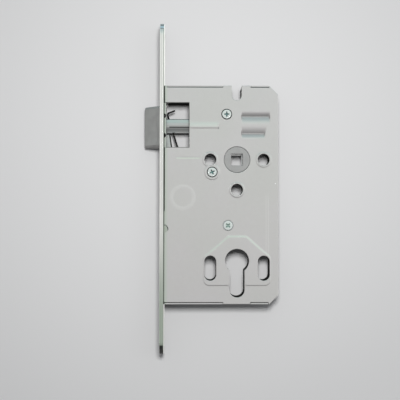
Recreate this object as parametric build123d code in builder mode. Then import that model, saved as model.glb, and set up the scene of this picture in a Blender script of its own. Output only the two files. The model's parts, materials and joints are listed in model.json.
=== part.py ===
from build123d import *
from math import atan2, cos, degrees, hypot, pi, radians, sin, sqrt, tan
import os

os.makedirs("parts", exist_ok=True)

# A mortise door lock, upright as it sits in the edge of a door, in millimetres.
# The origin is the centre of the forend's front face. +X goes into the door, +Z is up,
# and the cover plate faces -Y. A point on the case is given as (X, Z).

# Forend
FOREND_LENGTH = 238.0
FOREND_WIDTH = 20.0
FOREND_THICK = 3.0
SCREW_SPACING = 218.0
SCREW_HOLE_R = 2.6
SCREW_SINK_R = 4.9
RIVET_R = 1.8
RIVET_HEAD_R = 2.6
RIVET_TAIL = 0.8
RIVET_HEIGHTS = (66.0, 12.0, -5.0, -60.0)
CYLINDER_SCREW_DROP = 17.5
CYLINDER_SCREW_R = 2.75
CYLINDER_SCREW_SINK_R = 4.6

# Case
BACKSET = 55.0
CENTRES = 72.0
SPINDLE_Z = 20.0
CYLINDER_Z = SPINDLE_Z - CENTRES
CASE_LEFT = 3.0
CASE_RIGHT = 84.4
CASE_TOP = SPINDLE_Z + 53.0
CASE_BOTTOM = SPINDLE_Z - 102.5
CASE_CORNER = 6.4
CASE_HALF = 8.0
WALL = 1.5
COVER_THICK = 1.2
COVER_FRONT = -CASE_HALF
COVER_BACK = COVER_FRONT + COVER_THICK
REAR_INSIDE = CASE_HALF - WALL
COVER_GAP = 0.4
COVER_GAP_END = SPINDLE_Z - 36.5
EDGE_RECESS = 1.0
TOP_RECESSES = ((5.0, 44.7), (65.2, 78.0))
BOTTOM_RECESSES = ((3.6, 44.8), (64.7, 77.0))
LIP_PLAY = 0.1
OVERSHOOT = 1.0

# Holes through the case
HANDLE_HOLE_R = 4.2
HANDLE_SPACING = 38.0
LOWER_HOLE = (BACKSET, SPINDLE_Z - 21.5)
SLOT_LENGTH = 17.7
SLOT_WIDTH = 8.4
SLOT_Z = SPINDLE_Z - 77.1
CYLINDER_R = 8.5
CYLINDER_SLOT = 10.6
CYLINDER_BOTTOM = SPINDLE_Z - 97.8
NOTCH_LEFT = 51.4
NOTCH_RIGHT = 58.3
NOTCH_BOTTOM = SPINDLE_Z + 42.5
WINDOW_LEFT = CASE_LEFT + WALL
WINDOW_RIGHT = 20.8
WINDOW_BOTTOM = SPINDLE_Z + 8.9
WINDOW_TOP = SPINDLE_Z + 40.7

# Pressed shapes of the cover
EMBOSS = 0.4
BOSS_R = 5.9
EMBOSS_SLOPE = 35.0
PAD_CORNER_R = 4.5
BEAD = ((20.8, SPINDLE_Z + 21.9), (42.4, SPINDLE_Z + 27.5))
COIL_RING = (8.4, 7.2)
EDGE_TAB_Z = SPINDLE_Z - 49.4
EDGE_TAB_R = 2.85
PAD_LEFT = 30.9
PAD_RIGHT = 79.15
PAD_BOTTOM = SPINDLE_Z - 89.6
PAD_SHOULDER = SPINDLE_Z - 68.5
PAD_TOP = SPINDLE_Z - 53.4
PAD_PEAK = (48.6, 62.0)
RIDGE_LEFT = 58.0
RIDGE_RIGHT = 78.8
RIDGE_TOP = SPINDLE_Z + 34.4
RIDGE_VALLEYS = (SPINDLE_Z + 30.9, SPINDLE_Z + 18.8)
RIDGE_CREST = (SPINDLE_Z + 26.8, SPINDLE_Z + 23.0)
RIDGE_BOTTOM = SPINDLE_Z + 15.4
RIDGE_DEPTH = 1.9

# Screws and posts that hold the cover
COVER_SCREWS = (
    (47.7, SPINDLE_Z + 32.5),
    (37.35, SPINDLE_Z - 8.84),
    (48.6, SPINDLE_Z - 46.8),
)
COVER_HEAD_R = 3.45
COVER_HEAD_TOP_R = 2.1
COVER_HEAD_DEPTH = 1.6
COVER_SHANK_R = 1.6
COVER_SHANK_LENGTH = 7.0
HEAD_SLOPE = (COVER_HEAD_R - COVER_SHANK_R) / COVER_HEAD_DEPTH
SCREW_GAP = 0.12
SCREW_PROUD = 0.35
RECESS_WIDTH = 0.9
RECESS_SPAN = 3.8
RECESS_DEPTH = 1.3
POST_R = 2.9
POST_SHOULDER_R = 2.0

# Latch
LATCH_OUT = 11.4
LATCH_REAR = 3.9
LATCH_BOTTOM = SPINDLE_Z + 9.2
LATCH_TOP = SPINDLE_Z + 39.0
LATCH_HALF = 6.0
LATCH_TIP = 2.4
LATCH_SHOULDER_X = -0.6
LATCH_SCOOP_X = -3.2
LATCH_SCOOP_Y = 2.9
LATCH_CHAMFER = 1.7
LATCH_TIP_ROUND = 0.8
LATCH_EYE_X = 2.5
LATCH_EYES = (SPINDLE_Z + 31.4, SPINDLE_Z + 17.5)
LATCH_EYE_R = 1.6
LATCH_EYE_DEPTH = 3.0
SLIDE_PLAY = 0.25
TAIL_TOP = SPINDLE_Z + 29.6
TAIL_BOTTOM = SPINDLE_Z + 20.0
TAIL_FACET_TOP = SPINDLE_Z + 26.4
TAIL_FACET_BOTTOM = SPINDLE_Z + 23.5
TAIL_FRONT = -3.4
TAIL_BACK = 1.0
TAIL_SHOULDER = -1.0
TAIL_BAR_END = 23.0
TAIL_END = 71.0
TAIL_PLATE = (SPINDLE_Z + 20.5, SPINDLE_Z + 28.6)
TAIL_PLATE_FRONT = -2.5
TENON_LENGTH = 7.0
TENON_FRONT = -1.8
TENON_BACK = 0.8
TENON_LOW = SPINDLE_Z + 21.8
TENON_HIGH = SPINDLE_Z + 27.8
TENON_MIDDLE = (TENON_LOW + TENON_HIGH) / 2
LATCH_PIN_R = 1.0
LATCH_PIN_X = 1.2
PIN_SUNK = 0.1
HEEL_FRONT = 1.4
HEEL_BACK = 2.9
HEEL_LOW = SPINDLE_Z + 9.5
HEEL_HIGH = SPINDLE_Z + 18.6
HEEL_RIGHT_LOW = 8.6
HEEL_RIGHT_HIGH = 7.3

# Follower: its arm's round tip stands ahead of the tail's lug
SQUARE = 8.1
HUB_R = 8.2
HUB_HALF = 3.4
COLLAR_R = 9.25
COLLAR_FLANGE_R = 10.4
COLLAR_FLANGE_END = 6.3
COLLAR_END = 7.9
COLLAR_PLAY = 0.1
ARM_RADIUS = 17.0
ARM_LEAN = 19.0
ARM_TIP_R = 2.5
ARM_NECK = 3.4
ARM_ROOT = 6.0
ARM_ROOT_RADIUS = 10.2
ARM_GAP = 0.1
ARM_HALF = 2.4
SPRING_ARM_ANGLE = 20.0
SPRING_ARM_RADIUS = 12.1
SPRING_ARM_TIP_R = 2.0
LUG_LEFT = BACKSET - ARM_RADIUS * sin(radians(ARM_LEAN)) + ARM_TIP_R + ARM_GAP
LUG_WIDTH = 4.4
LUG_BOTTOM = SPINDLE_Z + 14.6

# Wire springs
LATCH_WIRE_R = 0.56
LATCH_COIL = (16.4, SPINDLE_Z - 26.9)
LATCH_COIL_R = 7.1
LATCH_PITCH = 1.62
LATCH_TURNS = 3
LATCH_LEG_Y = 2.0
LATCH_LEG_TOP = (4.1, SPINDLE_Z + 34.1)
LATCH_HOOK_END = (9.6, SPINDLE_Z + 36.0)
LATCH_HOOK_R = 1.7
LATCH_REST = (5.3, SPINDLE_Z - 13.0)
LATCH_SPRING_POST_R = 5.9
LATCH_POST_FRONT = -4.6
FOLLOWER_WIRE_R = 0.5
FOLLOWER_COIL_R = 2.2
FOLLOWER_TURNS = 9
FOLLOWER_SPRING_X = BACKSET + 11.4
FOLLOWER_SPRING_BOTTOM = SPINDLE_Z - 18.5
FOLLOWER_SPRING_GAP = 0.1
LEDGE_LEFT = FOLLOWER_SPRING_X - 3.4
LEDGE_RIGHT = FOLLOWER_SPRING_X + 3.0
LEDGE_THICK = 3.0
LEDGE_FRONT = -3.2
TUMBLER_WIRE_R = 0.4
TUMBLER_COIL_R = 3.5
TUMBLER_PITCH = 1.3
TUMBLER_COIL_Y = 1.6
TUMBLER_LEG_END = (62.0, SPINDLE_Z - 29.6)
TUMBLER_REST = (82.3, SPINDLE_Z - 18.0)

# Deadbolt: its throw is two turns of the key
THROW = 20.0
TURN_STEP = 10.0
BOLT_REAR = 32.0
BOLT_TOP = SPINDLE_Z - 36.0
BOLT_BOTTOM = SPINDLE_Z - 62.0
BOLT_HALF = 6.0
BOLT_SLOT = 12.0
BOLT_TAIL_HALF = 1.5
BOLT_TAIL_END = 76.0
BOLT_TAIL_TOP = SPINDLE_Z - 37.0
BOLT_TAIL_BOTTOM = SPINDLE_Z - 60.0
KEY_NOTCH_X = 60.0
KEY_NOTCH = (8.4, 5.6, 4.0)
BOLT_RIVETS = ((25.5, SPINDLE_Z - 43.0), (25.5, SPINDLE_Z - 55.0))
BOLT_RIVET_R = 1.6
BOLT_CHAMFER = 0.4

# Tumbler: its stump drops into notches along the top of the deadbolt's tail
TUMBLER_PIVOT = (77.0, SPINDLE_Z - 31.0)
TUMBLER_PIN_R = 2.5
STUMP = (42.0, SPINDLE_Z - 36.2)
STUMP_R = 1.8
TUMBLER_FRONT = 2.2
TUMBLER_BACK = 3.8
TUMBLER_ARM_WIDTH = 6.0
TUMBLER_EYE_R = 4.4
TUMBLER_BELLY = (
    (58.0, SPINDLE_Z - 34.0),
    (58.0, SPINDLE_Z - 59.5),
    (66.0, SPINDLE_Z - 59.5),
    (71.0, SPINDLE_Z - 50.0),
    (74.0, SPINDLE_Z - 33.0),
)
DETENT_FLOOR = SPINDLE_Z - 38.3
DETENT_RAMP_START = 0.25
DETENT_RAMP_END = 4.8

# Change lever, on the lowest case post
LEVER_FRONT = -6.5
LEVER_BACK = -4.7
LEVER_WIDTH = 4.0
LEVER_TIP_R = 2.2
LEVER_EYE_R = 5.2
LEVER_ARM = (
    COVER_SCREWS[2],
    (30.0, SPINDLE_Z - 28.5),
    (19.6, SPINDLE_Z - 5.0),
    (23.8, SPINDLE_Z + 12.0),
)
LEVER_FOOT = (67.5, SPINDLE_Z - 61.0)
LEVER_FOOT_R = 2.5
LEVER_LUG_LEFT = 26.15
LEVER_LUG_WIDTH = 3.0
LEVER_LUG_TOP = SPINDLE_Z + 26.6
LEVER_LUG_BOTTOM = SPINDLE_Z + 9.5
PAD_BACK = -2.2
PAD_PIN_R = 1.2
PIN_PLAY = 0.06

handle_holes = [(BACKSET + side * HANDLE_SPACING / 2, SPINDLE_Z) for side in (-1, 1)]
slots = [(x, SLOT_Z) for x, _ in handle_holes]


def layer(y):
    """The upright plane at depth y, drawn in X and Z. Extruding from it goes towards the viewer."""
    return Plane.XZ.offset(-y)


def finish(piece, name):
    """Label a finished piece and write it as its own file."""
    piece.part.label = name
    export_step(piece.part, f"parts/{name}.step")


def case_outline(inset, mode=Mode.ADD):
    """The case's upright outline, drawn inside the true one by the given inset."""
    corner = CASE_CORNER - inset * (2 - sqrt(2))
    left, right = CASE_LEFT + inset, CASE_RIGHT - inset
    low, high = CASE_BOTTOM + inset, CASE_TOP - inset
    Polygon(
        (left, low),
        (right - corner, low),
        (right, low + corner),
        (right, high - corner),
        (right - corner, high),
        (left, high),
        align=None,
        mode=mode,
    )


def cylinder_outline():
    """The profile cylinder's cut-out: a round top with a straight leg below it."""
    leg_end = CYLINDER_BOTTOM + CYLINDER_SLOT / 2
    with Locations((BACKSET, CYLINDER_Z)):
        Circle(CYLINDER_R)
    with Locations((BACKSET, (CYLINDER_Z + leg_end) / 2)):
        Rectangle(CYLINDER_SLOT, CYLINDER_Z - leg_end)
    with Locations((BACKSET, leg_end)):
        Circle(CYLINDER_SLOT / 2)


def case_openings(window_left):
    """Every hole that goes through both the cover and the rear plate."""
    with Locations((BACKSET, SPINDLE_Z)):
        Circle(COLLAR_R + COLLAR_PLAY)
    with Locations(*handle_holes, LOWER_HOLE):
        Circle(HANDLE_HOLE_R)
    with Locations(*slots):
        SlotOverall(SLOT_LENGTH, SLOT_WIDTH, rotation=90)
    cylinder_outline()
    notch_r = (NOTCH_RIGHT - NOTCH_LEFT) / 2
    notch_x = (NOTCH_RIGHT + NOTCH_LEFT) / 2
    with Locations((notch_x, NOTCH_BOTTOM + notch_r)):
        Circle(notch_r)
    Polygon(
        (NOTCH_LEFT, NOTCH_BOTTOM + notch_r),
        (NOTCH_RIGHT, NOTCH_BOTTOM + notch_r),
        (NOTCH_RIGHT, CASE_TOP + OVERSHOOT),
        (NOTCH_LEFT, CASE_TOP + OVERSHOOT),
        align=None,
    )
    Polygon(*corners(window_left, WINDOW_BOTTOM, WINDOW_RIGHT, WINDOW_TOP), align=None)


def corners(left, low, right, high):
    """The four corners of an upright rectangle."""
    return (left, low), (right, low), (right, high), (left, high)


def link(start, end, width):
    """A flat bar with round ends between two points of a sketch."""
    run_x, run_z = end[0] - start[0], end[1] - start[1]
    with Locations(((start[0] + end[0]) / 2, (start[1] + end[1]) / 2)):
        SlotCenterToCenter(hypot(run_x, run_z), width, rotation=degrees(atan2(run_z, run_x)))


def polar(centre, radius, angle):
    """A point of the case at a radius from a centre, its angle in degrees from +X towards +Z."""
    return centre[0] + radius * cos(radians(angle)), centre[1] + radius * sin(radians(angle))


def halfway(start, end, going):
    """The point halfway along the arc that leaves the start in a direction and comes to the end."""
    along = (end - start).normalized()
    side = (going - along * going.dot(along)).normalized()
    lean = radians(going.get_angle(along))
    return (start + end) * 0.5 + side * ((end - start).length / 2 * tan(lean / 2))


def biarc(start, start_dir, end, end_dir):
    """Join two points by two arcs that leave and arrive along the given directions."""
    gap = end - start
    lean = gap.dot(start_dir + end_dir)
    bend = 2 * (1 - start_dir.dot(end_dir))
    reach = (sqrt(lean**2 + bend * gap.dot(gap)) - lean) / bend
    middle = (start + end) * 0.5 + (start_dir - end_dir) * (reach / 2)
    ThreePointArc(start, halfway(start, middle, start_dir), middle)
    ThreePointArc(middle, halfway(end, middle, end_dir * -1), end)


def helix_points(base, radius, start_angle, turns, pitch, axis):
    """Points and directions along a helix, about a quarter turn apart, about the Y or the Z axis."""
    count = max(1, round(abs(turns) * 4))
    found = []
    for k in range(count + 1):
        angle = radians(start_angle) + 2 * pi * turns * k / count
        climb = pitch * abs(turns) * k / count
        way = 1 if turns > 0 else -1
        rise = pitch / (2 * pi * radius)
        across, up = radius * cos(angle), radius * sin(angle)
        go_across, go_up = -sin(angle) * way, cos(angle) * way
        if axis == "Y":
            point = Vector(base[0] + across, base[1] + climb, base[2] + up)
            going = Vector(go_across, rise, go_up)
        else:
            point = Vector(base[0] + across, base[1] + up, base[2] + climb)
            going = Vector(go_across, go_up, rise)
        found.append((point, going.normalized()))
    return found


def wind(found):
    """Draw a helix through its points as pairs of arcs."""
    for (start, start_dir), (end, end_dir) in zip(found, found[1:]):
        biarc(start, start_dir, end, end_dir)


def tangent_angle(point, centre, radius, side):
    """Angle about a circle's centre where a straight line from the point touches the circle."""
    away_x, away_z = point[0] - centre[0], point[1] - centre[1]
    reach = sqrt(away_x**2 + away_z**2 - radius**2)
    return degrees(atan2(away_z, away_x) + side * (pi / 2 - atan2(radius, reach)))


def front_wall_openings():
    """In the forend and in the case's front wall, the openings for the latch and the deadbolt."""
    for low, high, half in ((LATCH_BOTTOM, LATCH_TOP, LATCH_HALF), (BOLT_BOTTOM, BOLT_TOP, BOLT_HALF)):
        with Locations((0, (low + high) / 2)):
            Rectangle(2 * (half + SLIDE_PLAY), high - low + 2 * SLIDE_PLAY)


# Forend
with BuildPart() as forend:
    with BuildSketch(Plane.YZ):
        SlotOverall(FOREND_LENGTH, FOREND_WIDTH, rotation=90)
    extrude(amount=FOREND_THICK)
    with BuildSketch(Plane.YZ):
        front_wall_openings()
    extrude(amount=FOREND_THICK, mode=Mode.SUBTRACT)
    for heights, hole_r, sink_r in (
        ((-SCREW_SPACING / 2, SCREW_SPACING / 2), SCREW_HOLE_R, SCREW_SINK_R),
        (RIVET_HEIGHTS, RIVET_R, RIVET_HEAD_R),
        ((CYLINDER_Z - CYLINDER_SCREW_DROP,), CYLINDER_SCREW_R, CYLINDER_SCREW_SINK_R),
    ):
        with Locations(*[Plane((0, 0, z), z_dir=(-1, 0, 0)) for z in heights]):
            CounterSinkHole(hole_r, sink_r, depth=FOREND_THICK, counter_sink_angle=90)
finish(forend, "forend")

# Rivets that join the forend to the case's front wall
with BuildPart() as forend_rivets:
    for z in RIVET_HEIGHTS:
        with BuildSketch(Plane.XY.offset(z)):
            Polygon(
                (0, 0),
                (0, RIVET_HEAD_R),
                (RIVET_HEAD_R - RIVET_R, RIVET_R),
                (FOREND_THICK + WALL, RIVET_R),
                (FOREND_THICK + WALL, RIVET_HEAD_R),
                (FOREND_THICK + WALL + RIVET_TAIL, RIVET_R),
                (FOREND_THICK + WALL + RIVET_TAIL, 0),
                align=None,
            )
        revolve(axis=Axis((0, 0, z), (1, 0, 0)))
finish(forend_rivets, "forend_rivets")

# Rear plate of the case, with the ledge that the follower's spring stands on
with BuildPart() as case_rear_plate:
    with BuildSketch(layer(CASE_HALF)):
        case_outline(0)
    extrude(amount=WALL)
    with BuildSketch(layer(CASE_HALF)):
        case_openings(WINDOW_LEFT)
        # seats for the posts' and pins' riveted ends
        with Locations(*COVER_SCREWS, LATCH_COIL, TUMBLER_PIVOT):
            Circle(POST_SHOULDER_R)
    extrude(amount=WALL, mode=Mode.SUBTRACT)
    with BuildSketch(layer(REAR_INSIDE)):
        ledge_low = FOLLOWER_SPRING_BOTTOM - LEDGE_THICK
        Polygon(*corners(LEDGE_LEFT, ledge_low, LEDGE_RIGHT, FOLLOWER_SPRING_BOTTOM), align=None)
    extrude(amount=REAR_INSIDE - LEDGE_FRONT)
finish(case_rear_plate, "case_rear_plate")

# Walls of the case, bent up from the rear plate, with low lips in the cover's recesses
with BuildPart() as case_walls:
    with BuildSketch(layer(REAR_INSIDE)):
        case_outline(0)
        case_outline(WALL, mode=Mode.SUBTRACT)
    extrude(amount=REAR_INSIDE - COVER_BACK)
    with BuildSketch(layer(COVER_BACK)):
        lip_low, lip_high = CASE_TOP - EDGE_RECESS + LIP_PLAY, CASE_BOTTOM + EDGE_RECESS - LIP_PLAY
        for left, right in TOP_RECESSES:
            Polygon(*corners(left + LIP_PLAY, lip_low, right - LIP_PLAY, CASE_TOP), align=None)
        for left, right in BOTTOM_RECESSES:
            Polygon(*corners(left + LIP_PLAY, CASE_BOTTOM, right - LIP_PLAY, lip_high), align=None)
    extrude(amount=COVER_THICK)
    with BuildSketch(layer(REAR_INSIDE)):
        notch = corners(NOTCH_LEFT, CASE_TOP - 2 * WALL, NOTCH_RIGHT, CASE_TOP + OVERSHOOT)
        Polygon(*notch, align=None)
    extrude(amount=REAR_INSIDE - COVER_BACK, mode=Mode.SUBTRACT)
    with BuildSketch(Plane.YZ.offset(CASE_LEFT)):
        front_wall_openings()
        with Locations(*[(0, z) for z in RIVET_HEIGHTS]):
            Circle(RIVET_R)
        with Locations((0, CYLINDER_Z - CYLINDER_SCREW_DROP)):
            Circle(CYLINDER_SCREW_R)
    extrude(amount=WALL, mode=Mode.SUBTRACT)
    with BuildSketch(layer(0)):
        with Locations(*[(LATCH_EYE_X, z) for z in LATCH_EYES]):
            Circle(LATCH_EYE_R)
    extrude(amount=-COVER_BACK, mode=Mode.SUBTRACT)
finish(case_walls, "case_walls")

# Cover plate with its pressed bosses, bead, pad and corrugation
with BuildPart() as cover_plate:
    with BuildSketch(layer(COVER_BACK)):
        case_outline(0)
        with Locations((CASE_LEFT, (COVER_GAP_END + CASE_TOP) / 2)):
            Rectangle(2 * COVER_GAP, CASE_TOP - COVER_GAP_END + OVERSHOOT, mode=Mode.SUBTRACT)
        for recesses, low, high in (
            (TOP_RECESSES, CASE_TOP - EDGE_RECESS, CASE_TOP + OVERSHOOT),
            (BOTTOM_RECESSES, CASE_BOTTOM - OVERSHOOT, CASE_BOTTOM + EDGE_RECESS),
        ):
            for left, right in recesses:
                Polygon(*corners(left, low, right, high), align=None, mode=Mode.SUBTRACT)
    extrude(amount=COVER_THICK)
    # house-shaped pad round the cylinder and the two slots
    with BuildSketch(layer(COVER_FRONT)) as pad:
        Polygon(
            (PAD_LEFT, PAD_BOTTOM),
            (PAD_RIGHT, PAD_BOTTOM),
            (PAD_RIGHT, PAD_SHOULDER),
            (PAD_PEAK[1], PAD_TOP),
            (PAD_PEAK[0], PAD_TOP),
            (PAD_LEFT, PAD_SHOULDER),
            align=None,
        )
        fillet(pad.vertices(), PAD_CORNER_R)
    extrude(amount=EMBOSS, taper=EMBOSS_SLOPE)
    # round bosses about the handle holes, the middle screw and the follower's disc
    for centre in (*handle_holes, LOWER_HOLE, COVER_SCREWS[1]):
        with BuildSketch(layer(COVER_FRONT)):
            with Locations(centre):
                Circle(BOSS_R)
        extrude(amount=EMBOSS, taper=EMBOSS_SLOPE)
    # the bead that leads away from the latch window
    with BuildSketch(layer(COVER_FRONT)):
        half = (BEAD[1][1] - BEAD[0][1]) / 2
        link((BEAD[0][0], BEAD[0][1] + half), (BEAD[1][0] - half, BEAD[0][1] + half), 2 * half)
    extrude(amount=EMBOSS, taper=EMBOSS_SLOPE)
    with BuildSketch(layer(COVER_FRONT)):
        with Locations(LATCH_COIL):
            Circle(COIL_RING[0])
            Circle(COIL_RING[1], mode=Mode.SUBTRACT)
    extrude(amount=EMBOSS / 2)
    # half-round tab at the front edge
    with BuildSketch(layer(COVER_FRONT)):
        with Locations((CASE_LEFT, EDGE_TAB_Z)):
            Circle(EDGE_TAB_R)
            with Locations((-EDGE_TAB_R / 2, 0)):
                Rectangle(EDGE_TAB_R, 2 * EDGE_TAB_R, mode=Mode.SUBTRACT)
    extrude(amount=EMBOSS, taper=EMBOSS_SLOPE)
    # the corrugation that guides the latch's tail: two valleys and a crest between them
    with BuildSketch(layer(COVER_BACK)):
        Polygon(*corners(RIDGE_LEFT, RIDGE_BOTTOM, RIDGE_RIGHT, RIDGE_TOP), align=None)
    extrude(amount=COVER_THICK, mode=Mode.SUBTRACT)
    with BuildSketch(Plane.YZ.offset(RIDGE_LEFT)) as corrugation:
        valley = COVER_FRONT + RIDGE_DEPTH
        front = [
            (COVER_FRONT, RIDGE_TOP),
            (valley, RIDGE_VALLEYS[0]),
            (COVER_FRONT, RIDGE_CREST[0]),
            (COVER_FRONT, RIDGE_CREST[1]),
            (valley, RIDGE_VALLEYS[1]),
            (COVER_FRONT, RIDGE_BOTTOM),
        ]
        back = [(y + COVER_THICK, z) for y, z in reversed(front)]
        Polygon(*front, *back, align=None)
    extrude(amount=RIDGE_RIGHT - RIDGE_LEFT)
    with BuildSketch(layer(COVER_BACK + RIDGE_DEPTH)):
        case_openings(CASE_LEFT - OVERSHOOT)
    extrude(amount=RIDGE_DEPTH + COVER_THICK + 2 * EMBOSS, mode=Mode.SUBTRACT)
    # countersinks for the three screws
    for x, z in COVER_SCREWS:
        with BuildSketch(Plane((x, 0, z), x_dir=(1, 0, 0), z_dir=(0, 0, 1))):
            seat_r = COVER_HEAD_R + SCREW_GAP
            Polygon(
                (0, COVER_FRONT - OVERSHOOT),
                (seat_r, COVER_FRONT - OVERSHOOT),
                (seat_r, COVER_FRONT + SCREW_GAP),
                (seat_r - (COVER_THICK - SCREW_GAP) * HEAD_SLOPE, COVER_BACK),
                (0, COVER_BACK),
                align=None,
            )
        revolve(axis=Axis((x, 0, z), (0, 1, 0)), mode=Mode.SUBTRACT)
finish(cover_plate, "cover_plate")

# Screws that hold the cover, countersunk, with a cross recess
with BuildPart() as cover_screws:
    for x, z in COVER_SCREWS:
        top = COVER_FRONT - SCREW_PROUD
        with BuildSketch(Plane((x, 0, z), x_dir=(1, 0, 0), z_dir=(0, 0, 1))):
            Polygon(
                (0, top),
                (COVER_HEAD_TOP_R, top),
                (COVER_HEAD_R, top + SCREW_PROUD),
                (COVER_SHANK_R, top + SCREW_PROUD + COVER_HEAD_DEPTH),
                (COVER_SHANK_R, top + COVER_SHANK_LENGTH),
                (0, top + COVER_SHANK_LENGTH),
                align=None,
            )
        revolve(axis=Axis((x, 0, z), (0, 1, 0)))
        with BuildSketch(layer(top + RECESS_DEPTH)):
            with Locations((x, z)):
                Rectangle(RECESS_SPAN, RECESS_WIDTH)
                Rectangle(RECESS_WIDTH, RECESS_SPAN)
        extrude(amount=RECESS_DEPTH, mode=Mode.SUBTRACT)
finish(cover_screws, "cover_screws")

# Threaded posts under the cover screws; deadbolt and change lever run on the lowest
with BuildPart() as case_posts:
    for x, z in COVER_SCREWS:
        with BuildSketch(Plane((x, 0, z), x_dir=(1, 0, 0), z_dir=(0, 0, 1))):
            screw_end = COVER_FRONT - SCREW_PROUD + COVER_SHANK_LENGTH
            sink = COVER_HEAD_DEPTH - COVER_THICK
            Polygon(
                (COVER_SHANK_R + sink * HEAD_SLOPE, COVER_BACK),
                (POST_R, COVER_BACK),
                (POST_R, REAR_INSIDE),
                (POST_SHOULDER_R, REAR_INSIDE),
                (POST_SHOULDER_R, CASE_HALF),
                (0, CASE_HALF),
                (0, screw_end),
                (COVER_SHANK_R, screw_end),
                (COVER_SHANK_R, COVER_BACK + sink),
                align=None,
            )
        revolve(axis=Axis((x, 0, z), (0, 1, 0)))
finish(case_posts, "case_posts")


def riveted_pin(centre, radius, front):
    """A round pin from the given depth back to the rear plate, with its thinner end riveted there."""
    with BuildSketch(layer(REAR_INSIDE)) as shaft:
        with Locations(centre):
            Circle(radius)
    extrude(shaft.sketch, amount=REAR_INSIDE - front)
    with BuildSketch(layer(CASE_HALF)) as rivet:
        with Locations(centre):
            Circle(POST_SHOULDER_R)
    extrude(rivet.sketch, amount=WALL)


# Post inside the latch spring's coil
with BuildPart() as latch_spring_post:
    riveted_pin(LATCH_COIL, LATCH_SPRING_POST_R, LATCH_POST_FRONT)
finish(latch_spring_post, "latch_spring_post")

# Pin that the tumbler turns on
with BuildPart() as tumbler_pivot_pin:
    riveted_pin(TUMBLER_PIVOT, TUMBLER_PIN_R, COVER_BACK)
finish(tumbler_pivot_pin, "tumbler_pivot_pin")

# Outline of the tail's tenon and of its socket in the head
tenon = corners(LATCH_REAR - TENON_LENGTH, TENON_LOW, LATCH_REAR, TENON_HIGH)

# Latch head: its bevel faces the viewer, scooped where it meets the forend
with BuildPart() as latch_head:
    with BuildSketch(Plane.XY.offset(LATCH_BOTTOM)):
        with BuildLine():
            tip_front = (-LATCH_OUT, LATCH_HALF - LATCH_TIP)
            scoop = (LATCH_SCOOP_X, -LATCH_HALF + LATCH_SCOOP_Y)
            shoulder = (LATCH_SHOULDER_X, -LATCH_HALF)
            Polyline(
                shoulder,
                (LATCH_REAR, -LATCH_HALF),
                (LATCH_REAR, LATCH_HALF),
                (-LATCH_OUT, LATCH_HALF),
                tip_front,
            )
            Line(tip_front, scoop)
            TangentArc(scoop, shoulder, tangent=(scoop[0] - tip_front[0], scoop[1] - tip_front[1]))
        make_face()
    extrude(amount=LATCH_TOP - LATCH_BOTTOM)
    ends = latch_head.faces().filter_by(Axis.Z)
    bevel_edges = [
        edge
        for edge in ends.edges()
        if edge.center().X < LATCH_SHOULDER_X and edge.center().Y < LATCH_HALF - LATCH_TIP
    ]
    chamfer(bevel_edges, LATCH_CHAMFER)
    fillet(latch_head.edges().filter_by(Axis.Z).sort_by(Axis.X)[:2], LATCH_TIP_ROUND)
    with BuildSketch(layer(TENON_BACK)):
        Polygon(*tenon, align=None)
    extrude(amount=TENON_BACK - TENON_FRONT, mode=Mode.SUBTRACT)
    with BuildSketch(layer(LATCH_HALF)):
        with Locations((LATCH_PIN_X, TENON_MIDDLE)):
            Circle(LATCH_PIN_R)
    extrude(amount=2 * LATCH_HALF, mode=Mode.SUBTRACT)
    with BuildSketch(layer(LATCH_EYE_DEPTH - LATCH_HALF)):
        with Locations(*[(LATCH_EYE_X, z) for z in LATCH_EYES]):
            Circle(LATCH_EYE_R)
    extrude(amount=LATCH_EYE_DEPTH, mode=Mode.SUBTRACT)
finish(latch_head, "latch_head")

# Latch tail: a bar with two facets in the window, then a plate with two lugs
with BuildPart() as latch_tail:
    with BuildSketch(Plane.YZ.offset(LATCH_REAR)):
        Polygon(
            (TAIL_BACK, TAIL_BOTTOM),
            (TAIL_BACK, TAIL_TOP),
            (TAIL_SHOULDER, TAIL_TOP),
            (TAIL_FRONT, TAIL_FACET_TOP),
            (TAIL_FRONT, TAIL_FACET_BOTTOM),
            (TAIL_SHOULDER, TAIL_BOTTOM),
            align=None,
        )
    extrude(amount=TAIL_BAR_END - LATCH_REAR)
    with BuildSketch(layer(TAIL_BACK)):
        Polygon(*corners(TAIL_BAR_END, TAIL_PLATE[0], TAIL_END, TAIL_PLATE[1]), align=None)
    extrude(amount=TAIL_BACK - TAIL_PLATE_FRONT)
    with BuildSketch(layer(TENON_BACK)):
        Polygon(*tenon, align=None)
    extrude(amount=TENON_BACK - TENON_FRONT)
    # lug that the follower's arm pushes
    with BuildSketch(layer(ARM_HALF)):
        Polygon(
            (LUG_LEFT + 1, LUG_BOTTOM),
            (LUG_LEFT + LUG_WIDTH, LUG_BOTTOM),
            (LUG_LEFT + LUG_WIDTH, TAIL_PLATE[1]),
            (LUG_LEFT, TAIL_PLATE[1]),
            (LUG_LEFT, LUG_BOTTOM + 1),
            align=None,
        )
    extrude(amount=2 * ARM_HALF)
    # lug that the change lever pushes, reaching forward to the lever's depth
    with BuildSketch(layer(TAIL_PLATE_FRONT)):
        lug_right = LEVER_LUG_LEFT + LEVER_LUG_WIDTH
        Polygon(*corners(LEVER_LUG_LEFT, LEVER_LUG_BOTTOM, lug_right, LEVER_LUG_TOP), align=None)
    extrude(amount=TAIL_PLATE_FRONT - LEVER_FRONT)
    with BuildSketch(layer(LATCH_HALF)):
        with Locations((LATCH_PIN_X, TENON_MIDDLE)):
            Circle(LATCH_PIN_R)
    extrude(amount=2 * LATCH_HALF, mode=Mode.SUBTRACT)
finish(latch_tail, "latch_tail")

# Pin through the latch head and the tail's tenon
with BuildPart() as latch_pin:
    with BuildSketch(layer(LATCH_HALF - PIN_SUNK)):
        with Locations((LATCH_PIN_X, TENON_MIDDLE)):
            Circle(LATCH_PIN_R)
    extrude(amount=2 * (LATCH_HALF - PIN_SUNK))
finish(latch_pin, "latch_pin")

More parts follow.
